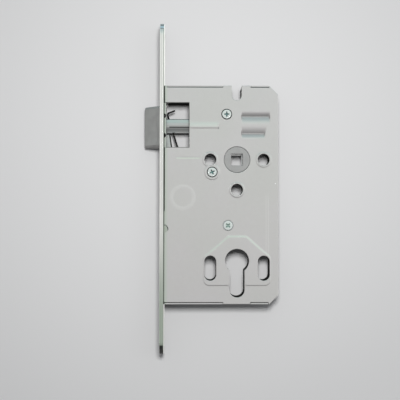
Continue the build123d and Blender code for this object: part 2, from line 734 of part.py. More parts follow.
# Latch heel: a thin plate on the back of the head, low in the window
with BuildPart() as latch_heel:
    with BuildSketch(layer(HEEL_BACK)):
        Polygon(
            (LATCH_REAR, HEEL_LOW),
            (HEEL_RIGHT_LOW, HEEL_LOW),
            (HEEL_RIGHT_HIGH, HEEL_HIGH),
            (LATCH_REAR, HEEL_HIGH),
            align=None,
        )
    extrude(amount=HEEL_BACK - HEEL_FRONT)
finish(latch_heel, "latch_heel")


def square_hole(back, front):
    """The square hole for the handles' spindle."""
    with BuildSketch(layer(back)) as square:
        with Locations((BACKSET, SPINDLE_Z)):
            Rectangle(SQUARE, SQUARE)
    extrude(square.sketch, amount=back - front, mode=Mode.SUBTRACT)


# Follower cam: the latch arm above, leaning towards the forend, and the spring arm behind
with BuildPart() as follower_cam:
    spindle = (BACKSET, SPINDLE_Z)
    with BuildSketch(layer(HUB_HALF)):
        with Locations(spindle):
            Circle(HUB_R)
    extrude(amount=2 * HUB_HALF)
    with BuildSketch(layer(ARM_HALF)):
        arm_tip = polar(spindle, ARM_RADIUS, 90 + ARM_LEAN)
        spring_tip = polar(spindle, SPRING_ARM_RADIUS, SPRING_ARM_ANGLE)
        link(spindle, arm_tip, ARM_NECK)
        link(spindle, polar(spindle, ARM_ROOT_RADIUS, 90 + ARM_LEAN), ARM_ROOT)
        with Locations(arm_tip):
            Circle(ARM_TIP_R)
        link(spindle, spring_tip, 2 * SPRING_ARM_TIP_R)
    extrude(amount=2 * ARM_HALF)
    square_hole(HUB_HALF, -HUB_HALF)
finish(follower_cam, "follower_cam")

# Follower collars: they carry the cam in the rear plate and in the cover
for side, name in ((1, "follower_collar_rear"), (-1, "follower_collar_front")):
    with BuildPart() as collar:
        near, flange, far = side * HUB_HALF, side * COLLAR_FLANGE_END, side * COLLAR_END
        with BuildSketch(layer(max(near, far))):
            with Locations(spindle):
                Circle(COLLAR_R)
        extrude(amount=abs(far - near))
        with BuildSketch(layer(max(near, flange))):
            with Locations(spindle):
                Circle(COLLAR_FLANGE_R)
        extrude(amount=abs(flange - near))
        square_hole(max(near, far), min(near, far))
    finish(collar, name)


def wire(path, radius):
    """Sweep a round wire along a path of lines and arcs."""
    with BuildSketch(Plane(path.position_at(0), z_dir=path.tangent_at(0))) as section:
        Circle(radius)
    sweep(section.sketch, path=path)


def least_gap(path, radius, samples=900):
    """The least gap of a wire to itself, measured between points further apart along it than a half turn."""
    points = [path.position_at(k / samples) for k in range(samples + 1)]
    skip = max(8, int(samples * 12 * radius / path.length))
    best = min(
        (points[a] - points[b]).length
        for a in range(len(points))
        for b in range(a + skip, len(points))
    )
    return best - 2 * radius


# Latch spring: a torsion spring whose long leg hooks behind the latch head
with BuildPart() as latch_spring:
    leg_angle = tangent_angle(LATCH_LEG_TOP, LATCH_COIL, LATCH_COIL_R, -1)
    rest_angle = tangent_angle(LATCH_REST, LATCH_COIL, LATCH_COIL_R, 1)
    sweep_turns = LATCH_TURNS + (leg_angle - rest_angle) % 360 / 360
    found = helix_points(
        (LATCH_COIL[0], LATCH_LEG_Y, LATCH_COIL[1]), LATCH_COIL_R, leg_angle, -sweep_turns, -LATCH_PITCH, "Y"
    )
    leg_start = polar(LATCH_COIL, LATCH_COIL_R, leg_angle)
    with BuildLine() as latch_wire:
        FilletPolyline(
            (LATCH_HOOK_END[0], LATCH_LEG_Y, LATCH_HOOK_END[1]),
            (LATCH_LEG_TOP[0], LATCH_LEG_Y, LATCH_LEG_TOP[1]),
            (leg_start[0], LATCH_LEG_Y, leg_start[1]),
            radius=LATCH_HOOK_R,
        )
        wind(found)
        Line(found[-1][0], (LATCH_REST[0], found[-1][0].Y, LATCH_REST[1]))
    wire(latch_wire.wires()[0], LATCH_WIRE_R)
finish(latch_spring, "latch_spring")
print("latch spring, least gap:", round(least_gap(latch_wire.wires()[0], LATCH_WIRE_R), 2))

# Follower spring: an upright coil under the follower's rear arm
with BuildPart() as follower_spring:
    spring_low = FOLLOWER_SPRING_BOTTOM + FOLLOWER_WIRE_R
    spring_high = spring_tip[1] - SPRING_ARM_TIP_R - FOLLOWER_WIRE_R - FOLLOWER_SPRING_GAP
    found = helix_points(
        (FOLLOWER_SPRING_X, 0, spring_low),
        FOLLOWER_COIL_R,
        0,
        FOLLOWER_TURNS,
        (spring_high - spring_low) / FOLLOWER_TURNS,
        "Z",
    )
    with BuildLine() as follower_wire:
        wind(found)
    wire(follower_wire.wires()[0], FOLLOWER_WIRE_R)
finish(follower_spring, "follower_spring")
print("follower spring, least gap:", round(least_gap(follower_wire.wires()[0], FOLLOWER_WIRE_R), 2))

# Tumbler spring: a small torsion spring on the tumbler's pin
with BuildPart() as tumbler_spring:
    left_angle = tangent_angle(TUMBLER_LEG_END, TUMBLER_PIVOT, TUMBLER_COIL_R, -1)
    right_angle = tangent_angle(TUMBLER_REST, TUMBLER_PIVOT, TUMBLER_COIL_R, 1)
    tumbler_turns = 3 + (left_angle - right_angle) % 360 / 360
    found = helix_points(
        (TUMBLER_PIVOT[0], TUMBLER_COIL_Y, TUMBLER_PIVOT[1]),
        TUMBLER_COIL_R,
        left_angle,
        -tumbler_turns,
        -TUMBLER_PITCH,
        "Y",
    )
    with BuildLine() as tumbler_wire:
        Line((TUMBLER_LEG_END[0], TUMBLER_COIL_Y, TUMBLER_LEG_END[1]), found[0][0])
        wind(found)
        Line(found[-1][0], (TUMBLER_REST[0], found[-1][0].Y, TUMBLER_REST[1]))
    wire(tumbler_wire.wires()[0], TUMBLER_WIRE_R)
finish(tumbler_spring, "tumbler_spring")
print("tumbler spring, least gap:", round(least_gap(tumbler_wire.wires()[0], TUMBLER_WIRE_R), 2))

# Deadbolt head, slotted at the rear for its tail
with BuildPart() as deadbolt_head:
    with BuildSketch(layer(BOLT_HALF)):
        Polygon(*corners(0, BOLT_BOTTOM, BOLT_REAR, BOLT_TOP), align=None)
    extrude(amount=2 * BOLT_HALF)
    chamfer(deadbolt_head.faces().sort_by(Axis.X)[0].edges(), BOLT_CHAMFER)
    with BuildSketch(layer(BOLT_TAIL_HALF)):
        Polygon(*corners(BOLT_REAR - BOLT_SLOT, BOLT_BOTTOM, BOLT_REAR, BOLT_TOP), align=None)
    extrude(amount=2 * BOLT_TAIL_HALF, mode=Mode.SUBTRACT)
    with BuildSketch(layer(BOLT_HALF)):
        with Locations(*BOLT_RIVETS):
            Circle(BOLT_RIVET_R)
    extrude(amount=2 * BOLT_HALF, mode=Mode.SUBTRACT)
finish(deadbolt_head, "deadbolt_head")

# Deadbolt tail: a slot round the lowest post, key notches below, detent notches above
with BuildPart() as deadbolt_tail:
    with BuildSketch(layer(BOLT_TAIL_HALF)):
        tail_left = BOLT_REAR - BOLT_SLOT
        Polygon(*corners(tail_left, BOLT_TAIL_BOTTOM, BOLT_TAIL_END, BOLT_TAIL_TOP), align=None)
        post_x, post_z = COVER_SCREWS[2]
        slot_width = 2 * (POST_R + SLIDE_PLAY)
        with Locations((post_x + THROW / 2, post_z)):
            SlotOverall(THROW + slot_width, slot_width, mode=Mode.SUBTRACT)
        for x in (KEY_NOTCH_X, KEY_NOTCH_X + TURN_STEP):
            Polygon(
                (x - KEY_NOTCH[0] / 2, BOLT_TAIL_BOTTOM - OVERSHOOT),
                (x + KEY_NOTCH[0] / 2, BOLT_TAIL_BOTTOM - OVERSHOOT),
                (x + KEY_NOTCH[1] / 2, BOLT_TAIL_BOTTOM + KEY_NOTCH[2]),
                (x - KEY_NOTCH[1] / 2, BOLT_TAIL_BOTTOM + KEY_NOTCH[2]),
                align=None,
                mode=Mode.SUBTRACT,
            )
        notch = STUMP_R + SLIDE_PLAY
        for k in (0, 1, 2):
            x = STUMP[0] + k * TURN_STEP
            right = x + notch if k else x + DETENT_RAMP_START
            lip = x + notch if k else x + DETENT_RAMP_END
            Polygon(
                (x - notch, DETENT_FLOOR),
                (right, DETENT_FLOOR),
                (lip, BOLT_TAIL_TOP),
                (lip, BOLT_TAIL_TOP + OVERSHOOT),
                (x - notch, BOLT_TAIL_TOP + OVERSHOOT),
                align=None,
                mode=Mode.SUBTRACT,
            )
    extrude(amount=2 * BOLT_TAIL_HALF)
    with BuildSketch(layer(BOLT_TAIL_HALF)):
        with Locations(*BOLT_RIVETS):
            Circle(BOLT_RIVET_R)
    extrude(amount=2 * BOLT_TAIL_HALF, mode=Mode.SUBTRACT)
finish(deadbolt_tail, "deadbolt_tail")

# Rivets through the deadbolt's head and tail
with BuildPart() as deadbolt_rivets:
    with BuildSketch(layer(BOLT_HALF)):
        with Locations(*BOLT_RIVETS):
            Circle(BOLT_RIVET_R)
    extrude(amount=2 * BOLT_HALF)
finish(deadbolt_rivets, "deadbolt_rivets")

# Tumbler plate: an arm over the deadbolt's tail, with a belly that the key's cam lifts
with BuildPart() as tumbler_plate:
    with BuildSketch(layer(TUMBLER_BACK)) as tumbler_face:
        link(TUMBLER_PIVOT, STUMP, TUMBLER_ARM_WIDTH)
        Polygon(*TUMBLER_BELLY, align=None)
        with Locations(TUMBLER_PIVOT):
            Circle(TUMBLER_EYE_R)
            Circle(TUMBLER_PIN_R + PIN_PLAY, mode=Mode.SUBTRACT)
        with Locations(STUMP):
            Circle(STUMP_R, mode=Mode.SUBTRACT)
    extrude(amount=TUMBLER_BACK - TUMBLER_FRONT)
finish(tumbler_plate, "tumbler_plate")

# Tumbler stump, riveted into the tumbler plate
with BuildPart() as tumbler_stump:
    with BuildSketch(layer(TUMBLER_BACK)):
        with Locations(STUMP):
            Circle(STUMP_R)
    extrude(amount=TUMBLER_BACK + BOLT_TAIL_HALF)
finish(tumbler_stump, "tumbler_stump")

# Change lever: its tip draws the latch when the key pushes its foot
with BuildPart() as change_lever:
    with BuildSketch(layer(LEVER_BACK)):
        for start, end in zip(LEVER_ARM, LEVER_ARM[1:]):
            link(start, end, LEVER_WIDTH)
        link(LEVER_ARM[0], LEVER_FOOT, LEVER_WIDTH)
        with Locations(LEVER_ARM[-1]):
            Circle(LEVER_TIP_R)
        with Locations(LEVER_ARM[0]):
            Circle(LEVER_EYE_R)
            Circle(POST_R + PIN_PLAY, mode=Mode.SUBTRACT)
        with Locations(LEVER_FOOT):
            Circle(LEVER_FOOT_R)
            Circle(PAD_PIN_R, mode=Mode.SUBTRACT)
    extrude(amount=LEVER_BACK - LEVER_FRONT)
finish(change_lever, "change_lever")

# Pad on the change lever's foot, as deep as the key's cam needs
with BuildPart() as change_lever_pad:
    with BuildSketch(layer(PAD_BACK)):
        with Locations(LEVER_FOOT):
            Circle(LEVER_FOOT_R)
    extrude(amount=PAD_BACK - LEVER_BACK)
    with BuildSketch(layer(LEVER_BACK)):
        with Locations(LEVER_FOOT):
            Circle(PAD_PIN_R)
    extrude(amount=LEVER_BACK - LEVER_FRONT)
finish(change_lever_pad, "change_lever_pad")
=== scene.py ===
# %% [markdown]
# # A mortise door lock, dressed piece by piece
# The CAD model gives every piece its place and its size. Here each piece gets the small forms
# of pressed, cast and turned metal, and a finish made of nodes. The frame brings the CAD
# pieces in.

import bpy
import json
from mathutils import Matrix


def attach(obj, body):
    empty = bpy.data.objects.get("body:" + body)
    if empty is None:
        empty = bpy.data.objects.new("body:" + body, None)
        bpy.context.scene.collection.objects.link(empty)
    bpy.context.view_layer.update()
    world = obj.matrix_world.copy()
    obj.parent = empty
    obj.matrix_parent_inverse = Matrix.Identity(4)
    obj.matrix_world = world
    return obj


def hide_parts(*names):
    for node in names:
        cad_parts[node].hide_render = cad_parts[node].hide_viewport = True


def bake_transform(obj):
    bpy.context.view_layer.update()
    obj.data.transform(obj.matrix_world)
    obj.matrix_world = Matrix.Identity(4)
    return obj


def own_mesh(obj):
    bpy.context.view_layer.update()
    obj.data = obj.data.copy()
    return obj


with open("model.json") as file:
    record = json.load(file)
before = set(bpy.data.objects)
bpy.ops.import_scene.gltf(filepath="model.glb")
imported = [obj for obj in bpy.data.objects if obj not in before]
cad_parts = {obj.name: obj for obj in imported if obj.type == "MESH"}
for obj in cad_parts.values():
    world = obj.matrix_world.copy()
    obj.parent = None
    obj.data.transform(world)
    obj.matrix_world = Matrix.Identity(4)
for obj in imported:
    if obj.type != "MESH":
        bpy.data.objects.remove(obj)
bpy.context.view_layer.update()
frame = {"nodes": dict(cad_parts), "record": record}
nodes = frame["nodes"]

# %% [markdown]
# ## Units
# A drawing of a lock is in millimetres, and so are the lengths below. Blender counts in
# metres, so points are scaled once, when a mesh is made. Numpy works on all points of a
# surface at a time, so each shape is written as its formula, with no loop over points.

# %% Tools and units
import json
from math import atan2, degrees, pi, radians, sqrt

import bmesh
import bpy
import numpy as np
from mathutils import Euler, Vector
from mathutils.geometry import delaunay_2d_cdt

MM = 0.001
dressed = []
print("a millimetre is", MM, "of Blender's units")

# %% [markdown]
# ## One way to make a piece
# Every surface below is an array of points and a list of faces. Seams are closed by merging
# points that lie on each other, faces are turned outwards, and edges sharper than a chosen
# angle stay crisp while the rest is shaded smooth. A piece then rides on its CAD body.

# %% Add a piece
MERGE = 2e-6


def clean(mesh, merge, flat_within=0.0):
    """Merges points nearer than a distance, joins faces that lean less than an angle, turns faces out."""
    shell = bmesh.new()
    shell.from_mesh(mesh)
    bmesh.ops.remove_doubles(shell, verts=shell.verts, dist=merge)
    if flat_within:
        bmesh.ops.dissolve_limit(
            shell, angle_limit=radians(flat_within), verts=shell.verts, edges=shell.edges
        )
    bmesh.ops.recalc_face_normals(shell, faces=shell.faces)
    shell.to_mesh(mesh)
    shell.free()


def put_in(name, mesh, body, slot, node, crisp):
    """A mesh as a piece that rides on a body and hides the CAD node it stands for."""
    mesh.shade_smooth()
    mesh.set_sharp_from_angle(angle=radians(crisp))
    piece = bpy.data.objects.new(name, mesh)
    bpy.context.scene.collection.objects.link(piece)
    if body:
        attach(piece, body)
    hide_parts(node)
    dressed.append((piece, slot))
    print(name, len(mesh.vertices), "points")
    return piece


def add_piece(name, surface, body, slot, node, crisp=35):
    """A piece from its points in millimetres and its faces."""
    points, faces = surface
    mesh = bpy.data.meshes.new(name)
    mesh.from_pydata((points * MM).tolist(), [], faces)
    clean(mesh, MERGE)
    return put_in(name, mesh, body, slot, node, crisp)


print("points nearer than", MERGE / MM, "mm are merged")

# %% [markdown]
# ## Faces on a grid
# Most surfaces here are rows of points that run round and close, such as the rings of a tube.
# The faces of such a grid follow from its two counts alone, so no face is listed by hand.

# %% Grids and shells
def grid_faces(rows, columns):
    """Four-cornered faces between the rows of a grid whose columns run round and close."""
    row, column = np.meshgrid(np.arange(rows - 1), np.arange(columns), indexing="ij")
    here, beside = row * columns + column, row * columns + (column + 1) % columns
    return np.stack([here, beside, beside + columns, here + columns], axis=-1).reshape(-1, 4).tolist()


def join_shells(*shells):
    """One array of points and one list of faces from several such pairs."""
    faces, count = [], 0
    for points, shell_faces in shells:
        faces += (np.asarray(shell_faces) + count).tolist()
        count += len(points)
    return np.concatenate([points for points, _ in shells]), faces


print(len(grid_faces(2, 6)), "faces join two rings of six points")

# %% [markdown]
# ## Outlines
# A sheet-metal part is an outline with holes. An outline here is a closed row of points with
# the metal on its left: the outer one runs anticlockwise and a hole runs clockwise. A corner
# becomes an arc that touches both its sides, as a cutting tool leaves it. Long sides are
# divided, because the small faces along them then stay well shaped.

# %% Outlines
SIDE_STEP = 1.6
SHARP_RADIUS, STRAIGHT_ANGLE = 0.05, 0.02
ARC_ANGLE, ARC_STEP = 0.22, 0.5


def circle(centre, radius, count=64, turn=1):
    """Points at equal angles round a centre: radius times cosine and sine."""
    angle = turn * np.arange(count) * 2 * pi / count
    return np.stack([centre[0] + radius * np.cos(angle), centre[1] + radius * np.sin(angle)], axis=1)


def arc_at(before, here, after, radius, count=None):
    """The arc that rounds a corner: its first point turned round its centre by angles from 0 to the
    bend. With no count given, a corner that is sharp or hardly bends stays one point."""
    incoming = (here - before) / np.linalg.norm(here - before)
    outgoing = (after - here) / np.linalg.norm(after - here)
    bend = atan2(incoming[0] * outgoing[1] - incoming[1] * outgoing[0], float(incoming @ outgoing))
    if count is None and (radius < SHARP_RADIUS or abs(bend) < STRAIGHT_ANGLE):
        return here[None]
    count = count or max(2, int(abs(bend) / ARC_ANGLE), int(abs(bend) * radius / ARC_STEP)) + 1
    first = here - incoming * (radius * np.tan(abs(bend) / 2))
    centre = first + np.sign(bend) * np.array([-incoming[1], incoming[0]]) * radius
    start, angle = first - centre, np.linspace(0, bend, count)[:, None]
    return centre + start * np.cos(angle) + np.array([-start[1], start[0]]) * np.sin(angle)


def corner_arcs(corners, radii, count=None):
    """The arc of each corner of a closed polygon."""
    corners = np.asarray(corners, float)
    around = zip(np.roll(corners, 1, 0), corners, np.roll(corners, -1, 0), radii)
    return [arc_at(before, here, after, radius, count) for before, here, after, radius in around]


def rounded(corners, radii, step=SIDE_STEP, turn=1):
    """A polygon with round corners whose sides are divided into steps."""
    outline = np.concatenate(corner_arcs(corners, np.broadcast_to(radii, len(corners))))
    run = np.roll(outline, -1, 0) - outline
    counts = np.maximum(1, np.ceil(np.linalg.norm(run, axis=1) / step).astype(int))
    side = np.repeat(np.arange(len(outline)), counts)
    share = (np.arange(len(side)) - np.repeat(np.cumsum(counts) - counts, counts)) / counts[side]
    return (outline[side] + run[side] * share[:, None])[::turn]


def box_corners(left, right, low, high):
    """The corners of an upright rectangle, anticlockwise."""
    return [(left, low), (right, low), (right, high), (left, high)]


def upright_slot(centre, length, width, turn=1):
    """A slot with round ends, its length upright."""
    half, reach = width / 2, length / 2
    x, z = centre
    return rounded(box_corners(x - half, x + half, z - reach, z + reach), half - 0.001, turn=turn)


print("a slot of 17.7 by 8.4:", len(upright_slot((0, 0), 17.7, 8.4)), "points")

# %% [markdown]
# ## In and out of an outline
# Two questions come up again and again: where does an outline go when it is moved into the
# metal, and how far inside it is a point? The first gives rounded edges, the second slopes.

# %% Offsets and distances
CHUNK = 4000
FAR, TINY = 1e9, 1e-9


def moved_in(outline, amount):
    """The outline moved into the metal: each point goes along the mean of its two sides' normals."""
    along = np.roll(outline, -1, 0) - outline
    along /= np.linalg.norm(along, axis=1)[:, None]
    after = np.stack([-along[:, 1], along[:, 0]], axis=1)
    before = np.roll(after, 1, 0)
    mean = (before + after) / (1 + np.clip((before * after).sum(1), -0.5, 1))[:, None]
    return outline + amount * mean


def inside_by(points, outline):
    """Signed distance to a closed outline: that to its nearest side, positive where a line drawn
    sideways from the point crosses the outline an odd number of times."""
    start, run = outline, np.roll(outline, -1, 0) - outline
    nearest, crossings = np.full(len(points), FAR), np.zeros(len(points), int)
    for chunk in range(0, len(points), CHUNK):
        some = points[chunk:chunk + CHUNK, None, :]
        away = some - start
        share = np.clip((away * run).sum(2) / np.maximum((run * run).sum(1), TINY**2), 0, 1)
        gap = away - share[..., None] * run
        nearest[chunk:chunk + CHUNK] = np.sqrt((gap**2).sum(2).min(1))
        spans = (start[:, 1] > some[..., 1]) != (start[:, 1] + run[:, 1] > some[..., 1])
        rise = np.where(np.abs(run[:, 1]) < TINY, TINY, run[:, 1])
        hit = start[:, 0] + away[..., 1] / rise * run[:, 0]
        crossings[chunk:chunk + CHUNK] = (spans & (some[..., 0] < hit)).sum(1)
    return np.where(crossings % 2 == 1, nearest, -nearest)


def smooth(share):
    """A soft step from 0 to 1: three times the square less twice the cube."""
    share = np.clip(share, 0, 1)
    return share * share * (3 - 2 * share)


print("the middle of a circle of 5 lies", inside_by(np.zeros((1, 2)), circle((0, 0), 5.0))[0], "inside")

# %% [markdown]
# ## Sheet metal
# A plate is made of a front skin, a back skin and the cut edge between them. Both skins share
# one net of triangles that keeps to the outlines, so holes of any shape come out clean. Where
# the press has pushed the sheet up or down, a height function moves the net's points, and
# extra rows of points along each pressed shape keep its slopes smooth.

# %% The net of a plate
NET_CHUNK, NET_MERGE = 500, 1e-5


def mesh_rows(u_values, v_values):
    """All crossings of two sets of lines."""
    grid_u, grid_v = np.meshgrid(u_values, v_values)
    return np.column_stack([grid_u.ravel(), grid_v.ravel()])


def net_points(loops, extra, spacing, margin):
    """The extra points, and a square net where they leave room, all inside the loops by a margin."""
    low, high = loops[0].min(0) + spacing / 2, loops[0].max(0)
    net = mesh_rows(np.arange(low[0], high[0], spacing), np.arange(low[1], high[1], spacing))
    near = np.zeros(len(net), bool)
    for chunk in range(0, len(net), NET_CHUNK):
        gap = net[chunk:chunk + NET_CHUNK, None, :] - extra[None, :, :]
        near[chunk:chunk + NET_CHUNK] = ((gap**2).sum(2) < (0.5 * spacing) ** 2).any(1)
    net = np.concatenate([extra, net[~near]])
    room = inside_by(net, loops[0]) > margin
    for hole in loops[1:]:
        room &= -inside_by(net, hole) > margin
    return net[room]


def triangles_between(rings, net):
    """Triangles over the rings and the net: none outside the first ring or inside another."""
    counts = [len(ring) for ring in rings]
    first = np.repeat(np.cumsum(counts) - counts, counts)
    here = np.arange(len(first))
    follows = first + (here - first + 1) % np.repeat(counts, counts)
    points = np.concatenate([*rings, net]).tolist()
    found = delaunay_2d_cdt(points, np.column_stack([here, follows]).tolist(), [], 0, NET_MERGE)
    flat, triangles = np.array(found[0]), np.array(found[2])
    middle = flat[triangles].mean(1)
    keep = inside_by(middle, rings[0]) > 0
    for ring in rings[1:]:
        keep &= inside_by(middle, ring) < 0
    return flat, triangles[keep].tolist()


print("a net of 3 by 4 lines has", len(mesh_rows(range(3), range(4))), "points")

# %% [markdown]
# ## Its edge and its two skins
# No cut edge is perfectly sharp. The press draws the sheet in a little on one side and leaves
# a small burr on the other, and plating softens both, so the edge is a few rows of points.

# %% Build a plate
EDGE = (
    (0.5, 0, 0.0), (0.26, 0, 0.0), (0.11, 0, 0.05), (0.03, 0, 0.14), (0.0, 0, 0.28),
    (0.0, 1, 0.12), (0.03, 1, 0.04), (0.12, 1, 0.0), (0.5, 1, 0.0),
)


def edge_rows(loop, profile, front, back):
    """The cut edge along a loop: rows at (how far in, which skin, how deep from that skin)."""
    rows = []
    for inset, skin, depth in profile:
        ring = moved_in(loop, inset)
        through = np.sign(back(ring) - front(ring))
        level = back(ring) - through * depth if skin else front(ring) + through * depth
        rows.append(np.column_stack([ring, level]))
    return np.concatenate(rows), grid_faces(len(profile), len(loop))


def plate(outer, holes, extra, front, back, edge=EDGE, spacing=2.4, margin=0.165):
    """Points (u, v, w) and faces of a plate: w = front(u, v) on one skin and back(u, v) on the other.
    Each hole comes with an edge of its own, or None for the plate's."""
    loops = [outer, *[hole for hole, _ in holes]]
    profiles = [edge, *[own or edge for _, own in holes]]
    bands = [edge_rows(loop, profile, front, back) for loop, profile in zip(loops, profiles)]
    inner = edge[0][0]
    net = net_points(loops, extra, spacing, inner + margin)
    flat, triangles = triangles_between([moved_in(loop, inner) for loop in loops], net)
    skins = [(np.column_stack([flat, level(flat)]), triangles) for level in (front, back)]
    return join_shells(*bands, *skins)


def facing_front(points, faces):
    """A plate drawn in (u, v, w) set up as the case's: u to X, v to Z, w to Y."""
    return points[:, [0, 2, 1]], faces


def facing_forend(points, faces):
    """A plate drawn in (u, v, w) set up as the forend: w to X, u to -Y, v to Z."""
    return points[:, [2, 0, 1]] * (1, -1, 1), faces


print("a cut edge has", len(EDGE), "rows of points")

# %% [markdown]
# ## Sizes of the case
# These come from the CAD model: the places of holes and screws in the plane of the cover, as
# (x, z). The cover and the rear plate share their holes, so one function gives them all.

# %% Sizes of the case
SPINDLE, COLLAR_HOLE = (55.0, 20.0), 9.35
CASE_LEFT, CASE_RIGHT, CASE_LOW, CASE_HIGH, CASE_CORNER = 3.0, 84.4, -82.5, 73.0, 6.4
COVER_FRONT, COVER_BACK, REAR_FRONT, REAR_BACK = -8.0, -6.8, 6.5, 8.0
WINDOW_RIGHT, WINDOW_LOW, WINDOW_HIGH = 20.8, 28.9, 60.7
HANDLE_HOLES, LOWER_HOLE, HANDLE_HOLE = ((36.0, 20.0), (74.0, 20.0)), (55.0, -1.5), 4.2
SCREWS = ((47.7, 52.5), (37.35, 11.16), (48.6, -26.8))
SLOTS, SLOT_LENGTH, SLOT_WIDTH = ((36.0, -57.1), (74.0, -57.1)), 17.7, 8.4
COIL, TUMBLER_PIVOT = (16.4, -6.9), (77.0, -11.0)


def cylinder_hole():
    """The profile cylinder's cut-out: a circle of 8.5 that runs into a leg 10.6 wide."""
    centre_x, centre_z, radius, half, low = 55.0, -52.0, 8.5, 5.3, -77.8
    neck = atan2(-sqrt(radius**2 - half**2), half)
    angle = np.linspace(neck, pi - neck, 60)
    round_part = np.stack([centre_x + radius * np.cos(angle), centre_z + radius * np.sin(angle)], axis=1)
    side = np.linspace(round_part[-1][1], low + half, 14)[1:-1]
    foot = np.linspace(pi, 2 * pi, 25)
    foot_part = np.stack([centre_x + half * np.cos(foot), low + half + half * np.sin(foot)], axis=1)
    left = np.column_stack([np.full(len(side), centre_x - half), side])
    right = np.column_stack([np.full(len(side), centre_x + half), side[::-1]])
    return np.concatenate([round_part, left, foot_part, right])[::-1]


def through_holes():
    """The holes that the cover and the rear plate share."""
    return [
        circle(SPINDLE, COLLAR_HOLE, 96, -1),
        *[circle(place, HANDLE_HOLE, 48, -1) for place in (*HANDLE_HOLES, LOWER_HOLE)],
        *[upright_slot(place, SLOT_LENGTH, SLOT_WIDTH, -1) for place in SLOTS],
        cylinder_hole(),
    ]


print("the case:", CASE_RIGHT - CASE_LEFT, "by", CASE_HIGH - CASE_LOW, "with", len(through_holes()), "holes")

# %% [markdown]
# ## The cover's outline
# The cover is one sheet of steel. Slits along its top and bottom edges show where the tray's
# walls hook into it, a notch lets a screw pass over the case, and the window over the latch
# opens to the left. Each corner is given with its radius.

# %% Outline of the cover
SLIT = 1.3
LOW_SLIT, HIGH_SLIT = CASE_LOW + SLIT, CASE_HIGH - SLIT
RIGHT_CORNERS = (
    ((CASE_RIGHT, CASE_LOW + CASE_CORNER), 0.8), ((CASE_RIGHT, CASE_HIGH - CASE_CORNER), 0.8),
)
NOTCH = (
    ((58.3, CASE_HIGH), 0.25), ((58.3, 62.5), 3.44), ((51.4, 62.5), 3.44), ((51.4, CASE_HIGH), 0.25),
)
cover_outer = rounded(*zip(
    ((3.0, CASE_LOW), 0.2), ((3.5, CASE_LOW), 0.1), ((3.5, LOW_SLIT), 0.1), ((45.1, LOW_SLIT), 0.3),
    ((45.1, CASE_LOW), 0.3), ((64.4, CASE_LOW), 0.3), ((64.4, LOW_SLIT), 0.3), ((77.3, LOW_SLIT), 0.2),
    ((77.3, CASE_LOW), 0.2), ((CASE_RIGHT - CASE_CORNER, CASE_LOW), 0.3), *RIGHT_CORNERS,
    ((CASE_RIGHT - CASE_CORNER, CASE_HIGH), 0.3), ((78.0, HIGH_SLIT), 0.1), ((64.8, HIGH_SLIT), 0.3),
    ((64.8, CASE_HIGH), 0.3), *NOTCH, ((45.1, CASE_HIGH), 0.3), ((45.1, HIGH_SLIT), 0.3),
    ((4.7, HIGH_SLIT), 0.3), ((4.7, CASE_HIGH), 0.3), ((3.55, CASE_HIGH), 0.2),
    ((3.55, WINDOW_HIGH), 0.2), ((WINDOW_RIGHT, WINDOW_HIGH), 0.5), ((WINDOW_RIGHT, WINDOW_LOW), 0.5),
    ((3.55, WINDOW_LOW), 0.2), ((3.55, -16.5), 0.1), ((3.0, -16.5), 0.1),
))
print("cover outline:", len(cover_outer), "points")

# %% [markdown]
# ## What the press raised
# A few strokes of the press give the cover its bosses round the holes that handle screws pass,
# a house-shaped pad round the cylinder, a bead that stiffens it behind the window, a faint
# ring over the spring and a half-round tab at the front edge. Each is a signed distance put
# through a soft step, so its slope follows its outline everywhere. A bump in the shader would
# look flat from the side.

# %% Raised shapes
PRESS, SLOPE_RUN, BOSS_RADIUS = 0.32, 0.9, 5.9
BOSS_PLACES = (*HANDLE_HOLES, LOWER_HOLE, SCREWS[1])
PAD = rounded(
    [(30.9, -69.6), (79.15, -69.6), (79.15, -48.5), (62.0, -33.4), (48.6, -33.4), (30.9, -48.5)], 4.5, 1.0
)
BEAD_LOW, BEAD_HIGH, BEAD_RIGHT, BEAD_RUNS = 42.0, 47.6, 41.6, (1.2, 3.2, 0.8)
RING_RADIUS, RING_HALF, RING_RUN, RING_HIGH = 7.9, 1.5, 1.3, 0.035
TAB, TAB_DISC, TAB_HIGH, TAB_ARC, TAB_ARC_DEPTH = (3.0, -29.4), 2.85, 0.05, 2.95, 0.5


def raised(u, v):
    """How high the press raised a point: the highest of the bosses, pad, bead, ring and tab."""
    boss = np.max([BOSS_RADIUS - np.hypot(u - x, v - z) for x, z in BOSS_PLACES], axis=0)
    pad_run = 0.7 + 1.5 * smooth((v + 52) / 8)
    pad = inside_by(np.column_stack([u, v]), PAD)
    low_run, high_run, right_run = BEAD_RUNS
    bead = np.minimum(smooth((BEAD_HIGH - v) / high_run), smooth((v - BEAD_LOW) / low_run))
    bead = np.minimum(bead, smooth((BEAD_RIGHT + 0.25 * (v - BEAD_LOW) - u) / right_run))
    ring = RING_HALF - np.abs(np.hypot(u - COIL[0], v - COIL[1]) - RING_RADIUS)
    tab = TAB_DISC - np.hypot(u - TAB[0], v - TAB[1])
    return np.maximum.reduce([
        PRESS * smooth(boss / SLOPE_RUN), PRESS * smooth(pad / pad_run), PRESS * bead,
        RING_HIGH * smooth(ring / RING_RUN), TAB_HIGH * smooth(tab / 0.3),
    ])


print("a boss rises", raised(np.array([40.0]), np.array([20.0]))[0], "mm")

# %% [markdown]
# ## What it sank
# Two troughs with a crest between them catch the light at the right. Their outer walls are
# steep, and between the valleys the sheet arches up to the crest. Three smaller marks are an
# arc round the tab, a thin groove and a raised pip, which is added here because it is tiny.

